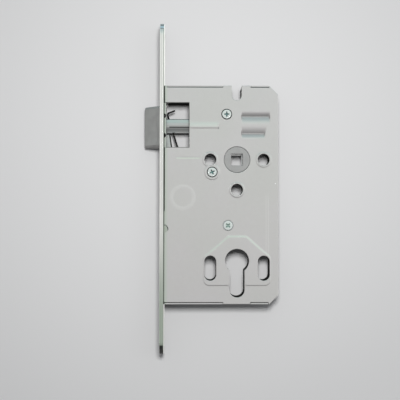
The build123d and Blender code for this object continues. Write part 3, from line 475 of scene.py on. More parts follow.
# %% Sunk shapes
TROUGH_LEFT, TROUGH_RIGHT, LOW_TROUGH_RIGHT, TROUGH_DEPTH, CREST = 58.0, 78.8, 75.2, 1.75, 45.0
TROUGH_TOP, VALLEY_HIGH, VALLEY_LOW, TROUGH_FOOT = 54.7, 50.9, 38.8, 34.8
VALLEY_HALF = 0.15
GROOVE_LEFT, GROOVE_RIGHT, GROOVE_HEIGHT, GROOVE_DEPTH = 11.6, 29.4, 21.5, 0.11
PIP, PIP_RADIUS, PIP_HIGH = (82.3, 3.0), 0.6, 0.12


def trough_share(v):
    """How deep the troughs are at a height: a steep outer wall that falls with the square of the
    way, then an arch from one valley over the crest to the other, and a steep wall again."""
    upper = np.clip((TROUGH_TOP - v) / (TROUGH_TOP - VALLEY_HIGH - VALLEY_HALF), 0, 1) ** 2
    lower = np.clip((v - TROUGH_FOOT) / (VALLEY_LOW - TROUGH_FOOT - VALLEY_HALF), 0, 1) ** 2
    half = (VALLEY_HIGH - VALLEY_LOW) / 2 - VALLEY_HALF
    arch = np.clip(np.abs(v - (VALLEY_HIGH + VALLEY_LOW) / 2) / half, 0, 1) ** 2.3
    return np.where(v > VALLEY_HIGH, upper, np.where(v < VALLEY_LOW, lower, arch))


def cover_height(points):
    """How far the cover stands out of its flat level, in millimetres, positive towards the viewer."""
    u, v = points.T
    away = np.hypot(u - TAB[0], v - TAB[1])
    arc = smooth(((v - TAB[1]) / np.maximum(away, 0.1) + 0.75) / 0.9)
    arc = TAB_ARC_DEPTH * arc * smooth((0.33 - np.abs(away - TAB_ARC)) / 0.25)
    slanted = LOW_TROUGH_RIGHT + np.clip((v - VALLEY_LOW) / 4.2, 0, 1) * 1.6
    right = np.where(v > CREST, TROUGH_RIGHT, slanted)
    across = np.minimum(smooth((u - TROUGH_LEFT) / 0.7), smooth((right - u) / 0.9))
    along = np.minimum(u - GROOVE_LEFT, GROOVE_RIGHT - u)
    groove = GROOVE_DEPTH * smooth((0.45 - np.abs(v - GROOVE_HEIGHT)) / 0.4) * smooth(along / 0.6)
    pip = PIP_HIGH * smooth((PIP_RADIUS - np.hypot(u - PIP[0], v - PIP[1])) / 0.5)
    return raised(u, v) - arc - TROUGH_DEPTH * trough_share(v) * across - groove + pip


print("the crest lies", -cover_height(np.array([[68.0, 44.85]]))[0], "mm under the cover's level")

# %% [markdown]
# ## Rows of points where the sheet bends
# A slope shows as smooth only where enough points lie on it, and points that follow its
# outline do more than a finer net. So each pressed shape brings its own rows.

# %% Rows along the pressed shapes
def contour_rows(outline, offsets=(-0.3, 0.0, 0.18, 0.36, 0.54, 0.72, 0.9, 1.2)):
    """Rows of points beside an outline, from just outside a slope's foot to just past its top."""
    return np.concatenate([moved_in(outline, offset) for offset in offsets])


def rings(centre, radii, count):
    """Circles round one centre, as one array."""
    return np.concatenate([circle(centre, radius, count) for radius in radii])


trough_v = np.concatenate([
    np.linspace(TROUGH_TOP + 0.4, VALLEY_HIGH + VALLEY_HALF, 13), [VALLEY_HIGH],
    np.linspace(VALLEY_HIGH - VALLEY_HALF, VALLEY_LOW + VALLEY_HALF, 34), [VALLEY_LOW],
    np.linspace(VALLEY_LOW - VALLEY_HALF, TROUGH_FOOT - 0.4, 13),
])
trough_u = np.concatenate([
    [57.6, 57.85, 58.0, 58.17, 58.35, 58.52, 58.7, 59.1],
    np.arange(60.2, 73.6, 1.3), np.arange(74.0, 79.4, 0.3),
])
bead_u = np.concatenate([np.arange(21.4, 40.0, 1.1), np.arange(40.4, 44.2, 0.2)])
bead_slope = BEAD_LOW + np.array([-0.3, 0, 0.2, 0.4, 0.6, 0.8, 1.0, 1.2])
bead_v = np.concatenate([bead_slope, np.arange(43.2, 48.2, 0.42)])
cover_extra = np.concatenate([
    mesh_rows(trough_u, trough_v),
    contour_rows(PAD, (-0.3, 0.0, 0.2, 0.4, 0.6, 0.8, 1.05, 1.35, 1.65, 1.95, 2.25)),
    mesh_rows(bead_u, bead_v),
    *[contour_rows(circle(place, BOSS_RADIUS, 56)) for place in BOSS_PLACES],
    rings(COIL, (6.1, 6.4, 6.75, 7.1, 7.45, 7.9, 8.35, 8.7, 9.05, 9.4, 9.7), 72),
    rings(TAB, (2.3, 2.58, 2.7, 2.82, 2.95, 3.08, 3.2, 3.32, 3.55), 40),
    mesh_rows(np.arange(11.2, 30.0, 0.9), (20.9, 21.1, 21.3, 21.5, 21.7, 21.9, 22.1)),
    rings(PIP, (0.15, 0.35, 0.55, 0.75), 14),
    *[rings(place, (4.1, 4.4), 48) for place in SCREWS],
])
print("extra points on the cover:", len(cover_extra))

# %% [markdown]
# ## The cover
# With its outline, its height and its rows at hand, the cover is one call. The screws' holes
# get a finer edge than the rest, because a wide one would show as a pale ring round each head.

# %% Cover
SEAT_RADIUS = 3.8
SEAT_EDGE = ((0.5, 0, 0.0), (0.06, 0, 0.0), (0.0, 0, 0.06), (0.0, 1, 0.04), (0.5, 1, 0.0))
cover_holes = [(hole, None) for hole in through_holes()]
cover_holes += [(circle(place, SEAT_RADIUS, 64, -1), SEAT_EDGE) for place in SCREWS]
cover_surface = plate(
    cover_outer, cover_holes, cover_extra,
    lambda points: COVER_FRONT - cover_height(points), lambda points: COVER_BACK - cover_height(points),
)
add_piece("cover", facing_front(*cover_surface), "case", "zinc_steel", "cover_plate")

# %% [markdown]
# ## The rear plate
# The other half of the case is a shallow tray, bent from one sheet. Its plate gets a round
# bend along its edge. Posts and pins are hammered over on its outside, and each leaves a
# shallow ring, which is a height function again.

# %% Rear plate
RIVETED_ENDS, END_RADIUS, END_RING = (*SCREWS, COIL, TUMBLER_PIVOT), 1.7, 2.1
REAR_EDGE = (
    (1.3, 1, 0.0), (0.8, 1, 0.1), (0.38, 1, 0.36), (0.1, 1, 0.78), (0.0, 1, 1.2),
    (0.0, 0, 0.02), (0.05, 0, 0.0), (0.5, 0, 0.0), (1.3, 0, 0.0),
)
rear_outer = rounded(*zip(
    ((CASE_LEFT, CASE_LOW), 0.3), ((CASE_RIGHT - CASE_CORNER, CASE_LOW), 0.8), *RIGHT_CORNERS,
    ((CASE_RIGHT - CASE_CORNER, CASE_HIGH), 0.8), *NOTCH, ((CASE_LEFT, CASE_HIGH), 0.3),
))


def rear_level(points):
    """The rear plate's outer face: flat, with a shallow ring pressed round each riveted end."""
    level = np.full(len(points), REAR_BACK)
    for centre in RIVETED_ENDS:
        away = np.hypot(points[:, 0] - centre[0], points[:, 1] - centre[1])
        level -= 0.09 * smooth((0.5 - np.abs(away - END_RING)) / 0.3)
        level += 0.12 * smooth((END_RADIUS - away) / 0.9) - 0.12 * smooth((0.45 - away) / 0.3)
    return np.minimum(level, REAR_BACK)


END_RINGS = (0.2, 0.5, 0.9, 1.4, 1.65, 1.85, 2.1, 2.35, 2.6, 3.0)
window = rounded(box_corners(4.5, WINDOW_RIGHT, WINDOW_LOW, WINDOW_HIGH), 0.5, turn=-1)
rear_surface = plate(
    rear_outer, [(hole, None) for hole in (*through_holes(), window)],
    np.concatenate([rings(end, END_RINGS, 28) for end in RIVETED_ENDS]),
    lambda points: np.full(len(points), REAR_FRONT), rear_level, REAR_EDGE,
)
add_piece("rear_plate", facing_front(*rear_surface), "case", "zinc_steel", "case_rear_plate")

# %% [markdown]
# ## Pieces that keep their CAD shape
# The case's walls and the parts inside it have plain forms that the CAD model already gives.
# They could be drawn again, but a copy is enough: it is merged into clean faces and its edges
# are eased with a live bevel, because no punched edge is perfectly sharp.

# %% Eased copies of CAD pieces
EASE, CAD_MERGE, ONE_PLANE = 0.15, 1e-5, 1.0


def eased(node, body, slot="bright_steel", crisp=20, reshape=None):
    """A merged copy of a CAD node with bevels on its sharp edges. A function may first give its
    points, in millimetres, new places."""
    mesh = nodes[node].data.copy()
    if "custom_normal" in mesh.attributes:
        mesh.attributes.remove(mesh.attributes["custom_normal"])
    if reshape:
        flat = np.empty(3 * len(mesh.vertices))
        mesh.vertices.foreach_get("co", flat)
        mesh.vertices.foreach_set("co", (reshape(flat.reshape(-1, 3) / MM) * MM).ravel())
    clean(mesh, CAD_MERGE, ONE_PLANE)
    piece = put_in(node + "_eased", mesh, body, slot, node, crisp)
    bevel = piece.modifiers.new("eased edges", "BEVEL")
    bevel.width, bevel.segments = EASE * MM, 2
    bevel.limit_method, bevel.angle_limit = "ANGLE", radians(crisp)
    bevel.harden_normals = True
    return piece


eased("case_walls", "case", "zinc_steel", 35)

# %% [markdown]
# ## The forend
# The forend is the long face plate that shows in the door's edge. Here it is seen edge on, so
# its ground side and softly rounded edges matter most. Its screw holes are cones sunk in its
# face, written as a height function like the cover's pressed shapes.

# %% Forend
FOREND_HALF_WIDTH, FOREND_HALF_LENGTH, FOREND_THICK = 10.0, 118.97, 3.0
SINKS = ((109.0, 2.6, 4.9), (-109.0, 2.6, 4.9), (-69.5, 2.75, 4.6))
OPENINGS, OPENING_HALF = ((28.95, 59.25), (-42.25, -15.75)), 6.25
RIVETS, RIVET_HEAD = (66.0, 12.0, -5.0, -60.0), 2.6
FOREND_EDGE = (
    (0.7, 0, 0.0), (0.3, 0, 0.0), (0.12, 0, 0.04), (0.03, 0, 0.14), (0.0, 0, 0.3),
    (0.0, 1, 0.4), (0.05, 1, 0.19), (0.17, 1, 0.06), (0.4, 1, 0.0), (0.7, 1, 0.0),
)
RIVET_EDGE = ((0.3, 0, 0.0), (0.05, 0, 0.0), (0.0, 0, 0.05), (0.0, 1, 0.05), (0.3, 1, 0.0))


def forend_face(points):
    """Depth of the forend's face: each screw hole's cone falls by its radius's loss."""
    depth = np.zeros(len(points))
    for height, hole, sink in SINKS:
        away = np.hypot(points[:, 0], points[:, 1] - height)
        depth = np.maximum(depth, np.clip(sink - away, 0, sink - hole))
    return depth


forend_outer = rounded(
    box_corners(-FOREND_HALF_WIDTH, FOREND_HALF_WIDTH, -FOREND_HALF_LENGTH, FOREND_HALF_LENGTH),
    FOREND_HALF_WIDTH - 0.001,
)
forend_holes = [
    (rounded(box_corners(-OPENING_HALF, OPENING_HALF, low, high), 0.5, turn=-1), None) for low, high in OPENINGS
]
forend_holes += [(circle((0, height), hole, 40, -1), None) for height, hole, _ in SINKS]
forend_holes += [(circle((0, height), RIVET_HEAD, 40, -1), RIVET_EDGE) for height in RIVETS]
forend_surface = plate(
    forend_outer, forend_holes,
    np.concatenate([
        rings((0, height), (sink - 0.35, sink - 0.06, sink + 0.06, sink + 0.5), 48) for height, _, sink in SINKS
    ]),
    forend_face, lambda points: np.full(len(points), FOREND_THICK), FOREND_EDGE, margin=0.06,
)
add_piece("forend_plate", facing_forend(*forend_surface), "case", "forend_steel", "forend")

# %% [markdown]
# ## Rivets
# Four rivets hold the case on the forend. Their heads are ground flush with it, and the ends
# are hammered over inside. Anything turned on a lathe is a profile carried round an axis.

# %% Rivets
RIVET_SIDES = 40
RIVET_PROFILE = (
    (0.0, 0.02), (1.2, 0.02), (2.4, 0.02), (2.52, 0.05), (2.57, 0.12), (2.57, 2.9), (1.8, 3.0), (1.8, 4.5),
    (2.5, 4.51), (2.58, 4.6), (2.45, 4.9), (1.9, 5.2), (1.2, 5.3), (0.0, 5.3),
)


def lathe(profile, angle):
    """A profile of (radius, depth) carried round the Y axis: radius times cosine, depth, radius
    times sine. Either may itself be a row with a value for each angle."""
    rows = []
    for row in profile:
        radius, depth = (np.broadcast_to(part, angle.shape) for part in row)
        rows.append(np.stack([radius * np.cos(angle), depth, radius * np.sin(angle)], axis=1))
    return np.concatenate(rows)


def rivet(height):
    """A rivet at a height: the turned profile laid along the X axis."""
    turned = lathe(RIVET_PROFILE, np.arange(RIVET_SIDES) * 2 * pi / RIVET_SIDES)
    return turned[:, [1, 0, 2]] + (0, 0, height), grid_faces(len(RIVET_PROFILE), RIVET_SIDES)


add_piece(
    "rivets", join_shells(*[rivet(height) for height in RIVETS]), "case", "forend_steel", "forend_rivets"
)

# %% [markdown]
# ## Collars of the follower
# The grey disc with the square hole is one end of the follower, which the handle's spindle
# turns. It is turned too, with one change: its inner rows follow a square and its outer rows
# a circle, so a row in between is a mix of both.

# %% Collars
SQUARE_HALF, SQUARE_CORNER = 4.05, 0.45
FACE_RADIUS, FACE_DEPTH = 8.75, 7.9
COLLAR_ANGLES = np.arange(160) * 2 * pi / 160


def square_row(half, corner):
    """A rounded square as a radius for each angle: the least of its sides, eased at the corners."""
    power = 2 * half / corner
    return half / (np.abs(np.cos(COLLAR_ANGLES))**power + np.abs(np.sin(COLLAR_ANGLES))**power) ** (1 / power)


def collar(side):
    """Rows of (radius, depth) from inside the square hole over the face and down to the flange."""
    square = square_row(SQUARE_HALF, SQUARE_CORNER)
    rows = [
        (square, 3.5), (square, 7.3), (square + 0.07, 7.68), (square + 0.3, 7.86), (square + 0.6, FACE_DEPTH),
    ]
    rows += [(square * (1 - share) + FACE_RADIUS * share, FACE_DEPTH) for share in (0.15, 0.35, 0.6, 0.8, 1.0)]
    rows += [(9.0, 7.87), (9.17, 7.75), (9.25, 7.5), (9.25, 6.42), (9.32, 6.33), (9.5, 6.3), (10.2, 6.3),
             (10.38, 6.2), (10.4, 6.0), (10.4, 3.7), (10.2, 3.5), (square + 0.2, 3.5), (square, 3.5)]
    points = lathe(rows, COLLAR_ANGLES) * (1, side, 1) + (SPINDLE[0], 0, SPINDLE[1])
    return points, grid_faces(len(rows), len(COLLAR_ANGLES))


add_piece("collar_front", collar(-1), "follower", "hub_zinc", "follower_collar_front")
add_piece("collar_rear", collar(1), "follower", "hub_zinc", "follower_collar_rear")

# %% [markdown]
# ## Cover screws
# Three countersunk screws with a cross recess. The head is a height over rings of points, and
# the recess is two crossed wedges cut from it, deepest in the middle. A boolean cut would do
# too, but leaves long thin faces that shade badly on a dome.

# %% Screws
RECESS_TURNS = (0, 24, 45)
HEAD_LEVEL, RECESS_DEPTH, RECESS_HALF, RECESS_REACH = -8.35, 1.25, 0.52, 1.95
SHANK = ((3.26, -7.2), (1.6, -5.9), (1.6, -1.6), (1.3, -1.35), (0.0, -1.35))


def screw(centre, turn):
    """A screw: a low dome less two tapered wedges at right angles, and its shank below."""
    angle = np.arange(144) * 2 * pi / 144
    radius = np.concatenate([np.arange(0.0, 2.3, 0.09), [2.4, 2.7, 3.0, 3.1, 3.16, 3.21, 3.24, 3.26]])[:, None]
    turned = angle - radians(turn)
    across, along = radius * np.cos(turned), radius * np.sin(turned)
    dome = HEAD_LEVEL + 0.05 * (radius / 3.42) ** 2 + 0.12 * np.clip((radius - 3.06) / 0.2, 0, 1) ** 2
    cuts = [
        RECESS_DEPTH * np.clip(1 - (np.abs(far) / RECESS_REACH) ** 2, 0, 1)
        * smooth((RECESS_HALF - np.abs(wide)) / 0.2)
        for wide, far in ((across, along), (along, across))
    ]
    rows = [*zip(radius, dome + np.maximum(*cuts)), *SHANK]
    return lathe(rows, angle) + (centre[0], 0, centre[1]), grid_faces(len(rows), len(angle))


add_piece(
    "screws", join_shells(*[screw(place, turn) for place, turn in zip(SCREWS, RECESS_TURNS)]),
    "case", "screw_zinc", "cover_screws", 28,
)

# %% [markdown]
# ## The latch head
# A die-cast wedge. Its section is drawn once in plan and carried up its height, while the
# bevel's corners, the hollow of its scoop and the chamfers at its ends change with height.
# Every section has the same number of points, so the grid of faces stays regular.

# %% Sections of the latch head
LATCH_LOW, LATCH_HIGH, LATCH_FRONT, LATCH_REAR, LATCH_TIP, LATCH_END = 29.2, 59.0, -6.0, 6.0, -11.4, 3.9
CHAMFER, END_ROUND = 1.7, 0.3
LATCH_EYES, EYE_DEPTH = ((2.5, 51.4), (2.5, 37.5)), 3.0
SIDE_COUNTS, ARC_COUNT = (2, 10, 4, 16, 12, 14), 6


def latch_section(z):
    """Plan of the latch head at a height, anticlockwise from its tip: the bevel runs from the tip to
    a scoop and then up to the shoulder, and the end chamfers draw the bevel side in."""
    above, below = z - LATCH_LOW, LATCH_HIGH - z
    draw = CHAMFER * max(0.0, 1 - min(above, below) / CHAMFER)
    scoop_x = -3.2 + 1.1 * np.clip((52.0 - z) / 16, 0, 1) - 0.9 * np.clip((36.0 - z) / 6, 0, 1)
    tip_round = 0.8 + (1.6 * max(0.0, 1 - above / 2.6) if above < below else 0.0)
    corners = (
        (LATCH_TIP, LATCH_REAR), (LATCH_TIP + 0.55 * draw, 3.6 + 0.35 * draw), (scoop_x, -3.1 + draw),
        (-0.6 + 0.25 * draw, LATCH_FRONT + draw), (LATCH_END, LATCH_FRONT + draw), (LATCH_END, LATCH_REAR),
    )
    return corners, (0.3, tip_round, 1.4, 0.5, 0.25, 0.25)


def even_corners(corners, radii):
    """A rounded polygon with the same number of points on every side and corner at every height."""
    arcs, points = corner_arcs(corners, radii, ARC_COUNT), []
    for arc, following, count in zip(arcs, [*arcs[1:], arcs[0]], SIDE_COUNTS):
        share = np.linspace(0, 1, count + 2)[1:-1, None]
        points += [arc, arc[-1] + (following[0] - arc[-1]) * share]
    return np.concatenate(points)


print("a section of the latch head has", len(even_corners(*latch_section(44.0))), "points")

# %% [markdown]
# ## Stacking the sections
# The heights crowd towards the two ends, where the chamfers and the small end radius need
# them, and the two blind holes of the casting are a depth taken from the front face.

# %% Latch head
def latch_head():
    """Sections stacked from the low end to the high one, and closed by a cap at each."""
    ends = np.array([0.0, 0.06, 0.2, 0.4, 0.7, 1.0, 1.35, 1.7, 2.05, 2.6])
    rows = []
    for z in (*(LATCH_LOW + ends), *np.linspace(32.4, 55.8, 72), *(LATCH_HIGH - ends[::-1])):
        end = min(z - LATCH_LOW, LATCH_HIGH - z, END_ROUND)
        inset = END_ROUND - sqrt(max(0.0, END_ROUND**2 - (END_ROUND - end) ** 2))
        section = moved_in(even_corners(*latch_section(z)), inset)
        away = np.min([np.hypot(section[:, 0] - x, z - eye_z) for x, eye_z in LATCH_EYES], axis=0)
        front_face = (section[:, 1] < LATCH_FRONT + 0.1) & (section[:, 0] > -0.3)
        section[:, 1] += np.where(front_face, EYE_DEPTH * smooth((1.6 - away) / 0.3), 0)
        rows.append(np.column_stack([section, np.full(len(section), z)]))
    size = len(rows[0])
    caps = [list(range(size)), list(range((len(rows) - 1) * size, len(rows) * size))]
    return np.concatenate(rows), grid_faces(len(rows), size) + caps


add_piece("latch_bolt", latch_head(), "latch", "die_cast", "latch_head", 30)

# %% [markdown]
# ## Wire springs
# Each spring is a round wire along a path: straight legs, a fillet where the wire was bent and
# a coil. A coil is a circle that climbs, so its points are a radius times cosine and sine of
# an angle, and a climb in proportion to that angle. A curve object with a bevel would give
# the same wire; here it is a mesh.

# %% Tubes along a path
CAP_LEANS = np.array([0.4, 0.8, 1.15, 1.4, pi / 2])
WHOLE_TURNS, STEPS_A_TURN, LEG_STEPS, REST_STEPS = 3, 48, 60, 16


def tube(path, radius, across, sides=14):
    """A wire: circles square to the path, held upright by one fixed direction, with domed ends."""
    along = np.gradient(path, axis=0)
    along /= np.linalg.norm(along, axis=1)[:, None]
    first = np.asarray(across, float) - (along @ across)[:, None] * along
    first /= np.linalg.norm(first, axis=1)[:, None]
    second = np.cross(along, first)
    reach = (radius * np.sin(CAP_LEANS))[:, None]
    centres = np.concatenate([path[0] - along[0] * reach[::-1], path, path[-1] + along[-1] * reach])
    dome = radius * np.cos(CAP_LEANS)
    radii = np.concatenate([dome[::-1], np.full(len(path), radius), dome])[:, None, None]
    caps = ((len(dome), len(dome)), (0, 0))
    first, second = (np.pad(way, caps, mode="edge")[:, None] for way in (first, second))
    angle = (np.arange(sides) * 2 * pi / sides)[None, :, None]
    points = centres[:, None] + radii * (first * np.cos(angle) + second * np.sin(angle))
    return points.reshape(-1, 3), grid_faces(len(centres), sides)


def tangent_angle(point, centre, radius, side):
    """Angle about a circle's centre where a straight line from the point touches the circle."""
    away_x, away_z = point[0] - centre[0], point[1] - centre[1]
    reach = sqrt(away_x**2 + away_z**2 - radius**2)
    return degrees(atan2(away_z, away_x) + side * (pi / 2 - atan2(radius, reach)))


def coil_path(centre, radius, depth, pitch, leg_start, rest):
    """From a leg's end straight to the coil, round it three times and a bit, and straight to its rest."""
    start = tangent_angle(leg_start, centre, radius, -1)
    stop = tangent_angle(rest, centre, radius, 1)
    turns = WHOLE_TURNS + ((start - stop) % 360) / 360
    share = np.linspace(0, 1, int(turns * STEPS_A_TURN))
    angle = np.radians(start - 360 * turns * share)
    coil = np.column_stack([
        centre[0] + radius * np.cos(angle), depth - pitch * turns * share, centre[1] + radius * np.sin(angle)
    ])
    leg = np.linspace((leg_start[0], depth, leg_start[1]), coil[0], LEG_STEPS)[:-1]
    tail = np.linspace(coil[-1], (rest[0], coil[-1][1], rest[1]), REST_STEPS)[1:]
    return np.concatenate([leg, coil, tail])


print("each domed end of a wire has", len(CAP_LEANS), "rings")

# %% [markdown]
# ## The latch spring
# The black wire in the window. Its coil sits on a post in the case and its hooked end pushes
# the latch out.

# %% Latch spring
HOOK_END, LEG_TOP, LEG_DEPTH, HOOK_RADIUS = (10.1, 56.2), (4.9, 54.2), 2.0, 1.7
COIL_RADIUS, COIL_PITCH, COIL_REST, WIRE_RADIUS, WIRE_CRISP = 7.1, 1.62, (5.3, 7.0), 0.66, 60
latch_path = coil_path(COIL, COIL_RADIUS, LEG_DEPTH, COIL_PITCH, LEG_TOP, COIL_REST)
bend = arc_at(np.array(HOOK_END), np.array(LEG_TOP), latch_path[1][[0, 2]], HOOK_RADIUS, 14)
hook = np.concatenate([np.linspace(HOOK_END, bend[0], 10)[:-1], bend])
hook = np.column_stack([hook[:, 0], np.full(len(hook), LEG_DEPTH), hook[:, 1]])
latch_path = np.concatenate([hook, latch_path[latch_path[:, 2] < bend[-1][1] - 0.2]])
latch_spring = add_piece(
    "latch_spring_wire", tube(latch_path, WIRE_RADIUS, (0, 1, 0)),
    None, "spring_wire", "latch_spring", WIRE_CRISP,
)
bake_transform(latch_spring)

# %% [markdown]
# ## The tumbler spring
# A smaller one of the same kind, which presses the tumbler into the bolt's notches.

# %% Tumbler spring
TUMBLER_LEG, TUMBLER_REST, TUMBLER_DEPTH = (62.0, -9.6), (82.3, 2.0), 1.6
TUMBLER_COIL_RADIUS, TUMBLER_PITCH, THIN_WIRE_RADIUS, THIN_WIRE_SIDES = 3.5, 1.3, 0.4, 10
tumbler_path = coil_path(
    TUMBLER_PIVOT, TUMBLER_COIL_RADIUS, TUMBLER_DEPTH, TUMBLER_PITCH, TUMBLER_LEG, TUMBLER_REST
)
tumbler_spring = add_piece(
    "tumbler_spring_wire", tube(tumbler_path, THIN_WIRE_RADIUS, (0, 1, 0), THIN_WIRE_SIDES),
    None, "spring_wire", "tumbler_spring", WIRE_CRISP,
)
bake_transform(tumbler_spring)

# %% [markdown]
# ## The follower spring
# An upright pressure spring that turns the handle back. It stands on its lower end and gets
# shorter as the follower turns.

# %% Follower spring
FOLLOWER_TURNS, FOLLOWER_RADIUS, FOLLOWER_X, POINTS_A_TURN = 9, 2.2, 66.4, 28
FOLLOWER_LOW, FOLLOWER_HIGH, FOLLOWER_WIRE_RADIUS = 2.0, 21.54, 0.5
share = np.linspace(0, 1, FOLLOWER_TURNS * POINTS_A_TURN)
angle = 2 * pi * FOLLOWER_TURNS * share
follower_path = np.column_stack([
    FOLLOWER_X + FOLLOWER_RADIUS * np.cos(angle), FOLLOWER_RADIUS * np.sin(angle),
    FOLLOWER_LOW + (FOLLOWER_HIGH - FOLLOWER_LOW) * share,
])
follower_spring = add_piece(
    "follower_spring_wire", tube(follower_path, FOLLOWER_WIRE_RADIUS, (0, 0, 1), THIN_WIRE_SIDES),
    "case", "spring_wire", "follower_spring", WIRE_CRISP,
)
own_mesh(follower_spring)

# %% [markdown]
# ## The parts inside
# Latch tail, bolt, tumbler, levers, posts and pins are eased copies. Two of their forms change
# on the way: the tail bar's facets lean less, as the light on them shows, and riveted ends
# stop just under the rear plate's skin, because two faces at one place would flicker.

# %% Parts inside the case
FACET_HEIGHTS, SHOULDER_X = (40.0, 43.5, 46.4, 49.6), 23.0
FACETS_BEFORE, FACETS_AFTER = (-1.0, -3.4, -3.4, -1.0), (-1.9, -3.4, -3.4, -2.7)


def flatter_facets(points):
    """The tail bar's facets brought forward at their outer edges, so that they lean less."""
    x, y, z = points.T
    before, after = (np.interp(z, FACET_HEIGHTS, depths) for depths in (FACETS_BEFORE, FACETS_AFTER))
    on_facet = (x < SHOULDER_X + 0.2) & (np.abs(y - before) < 0.05)
    moved = (on_facet | (np.abs(x - SHOULDER_X) < 0.1)) & (y < -0.95)
    return np.column_stack([x, np.where(moved, after, y), z])


def under_the_plate(points):
    """Riveted ends kept just under the rear plate's skin, whose own pressed rings show them."""
    return np.minimum(points, (np.inf, REAR_BACK - 0.2, np.inf))


eased("latch_tail", "latch", crisp=10, reshape=flatter_facets)
for node in ("case_posts", "latch_spring_post", "tumbler_pivot_pin"):
    eased(node, "case", reshape=under_the_plate)
for node, body in (
    ("latch_heel", "latch"), ("deadbolt_head", "deadbolt"), ("deadbolt_tail", "deadbolt"),
    ("tumbler_plate", "tumbler"), ("change_lever", "change_lever"), ("follower_cam", "follower"),
    ("latch_pin", "latch"), ("deadbolt_rivets", "deadbolt"), ("tumbler_stump", "tumbler"),
    ("change_lever_pad", "change_lever"),
):
    eased(node, body)

# %% [markdown]
# ## Finishes as expressions
# A shader is a graph of nodes, but most of it is arithmetic. The small class below wraps a
# node's output, so that a line such as `1 - mask * 0.3` adds the Math nodes by itself. Soft
# steps and bands come from it too, and they are what most marks on the lock are made of.

# %% Values
class Value:
    """A number or colour that varies over a surface. Arithmetic on it adds Math nodes."""

    def __init__(self, graph, socket):
        self.graph, self.socket = graph, socket

    def join(self, operation, first, second):
        """The result of an operation on two values or numbers."""
        return self.graph.node("ShaderNodeMath", {"operation": operation}, {0: first, 1: second})

    def __add__(self, other):
        return self.join("ADD", self, other)

    def __sub__(self, other):
        return self.join("SUBTRACT", self, other)

    def __rsub__(self, other):
        return self.join("SUBTRACT", other, self)

    def __mul__(self, other):
        return self.join("MULTIPLY", self, other)

    def __pow__(self, other):
        return self.join("POWER", self, other)

    __radd__, __rmul__ = __add__, __mul__

    def most(self, other):
        """The greater of the two."""
        return self.join("MAXIMUM", self, other)

    def size(self):
        """Its distance from zero."""
        return self.join("ABSOLUTE", self, 0.0)

    def spread(self, low, high, start, stop, way="LINEAR"):
        """From start to stop as the value goes from low to high, and no further."""
        ends = {"From Min": low, "From Max": high, "To Min": start, "To Max": stop}
        return self.graph.node("ShaderNodeMapRange", {"interpolation_type": way}, {"Value": self, **ends})

    def step(self, low, high):
        """A soft step: 0 below low and 1 above high."""
        return self.spread(low, high, 0.0, 1.0, "SMOOTHSTEP")

    def below(self, low, high):
        """The soft step the other way: 1 below low and 0 above high."""
        return 1 - self.step(low, high)

    def band(self, low, full, until, high):
        """Rises softly from low to full, and falls from until to high."""
        return self.step(low, full) * self.below(until, high)

    def near(self, centre, full, gone):
        """1 within a distance of a centre, and softly 0 further off."""
        return (self - centre).size().below(full, gone)


print("a value can", ", ".join(name for name in vars(Value) if not name.startswith("_")))

# %% [markdown]
# ## One way to make a node
# Every node comes from one method: its type, then its settings, then numbers or links for its
# sockets. The order matters, because a setting can change which sockets a node has.

# %% Graphs
class Graph:
    """The nodes of one material or of the world."""

    def __init__(self, tree):
        self.tree = tree

    def node(self, kind, settings=None, sockets=None, output=0):
        """A new node: its settings come first, such as a Math node's operation or a ramp's stops, and
        then its sockets get values or links. Gives one of its outputs."""
        new = self.tree.nodes.new(kind)
        for key, value in (settings or {}).items():
            if key == "stops":
                stops = new.color_ramp.elements
                stops.remove(stops[0])
                for place, colour in value:
                    stops.new(place).color = (*colour, 1)
                stops.remove(stops[-1])
            else:
                setattr(new, key, value)
        for key, value in (sockets or {}).items():
            if isinstance(value, Value):
                self.tree.links.new(value.socket, new.inputs[key])
            else:
                new.inputs[key].default_value = value
        return Value(self, new.outputs[output]) if len(new.outputs) else None


print("a graph can", ", ".join(name for name in vars(Graph) if not name.startswith("_")))

# %% [markdown]
# ## A finish
# A finish is a graph round one shader for metal and paint. Numbers that are the same all over
# are set on the shader's own sockets, and only what varies is linked. Places are read from the
# object's own coordinates, here in millimetres, so a mark can be put where the drawing has it.
# Marks are painted one over the other, each with a share and a colour.

# %% Finishes
MIX_SHARE, MIX_FIRST, MIX_SECOND, MIX_COLOUR = 0, 6, 7, 2


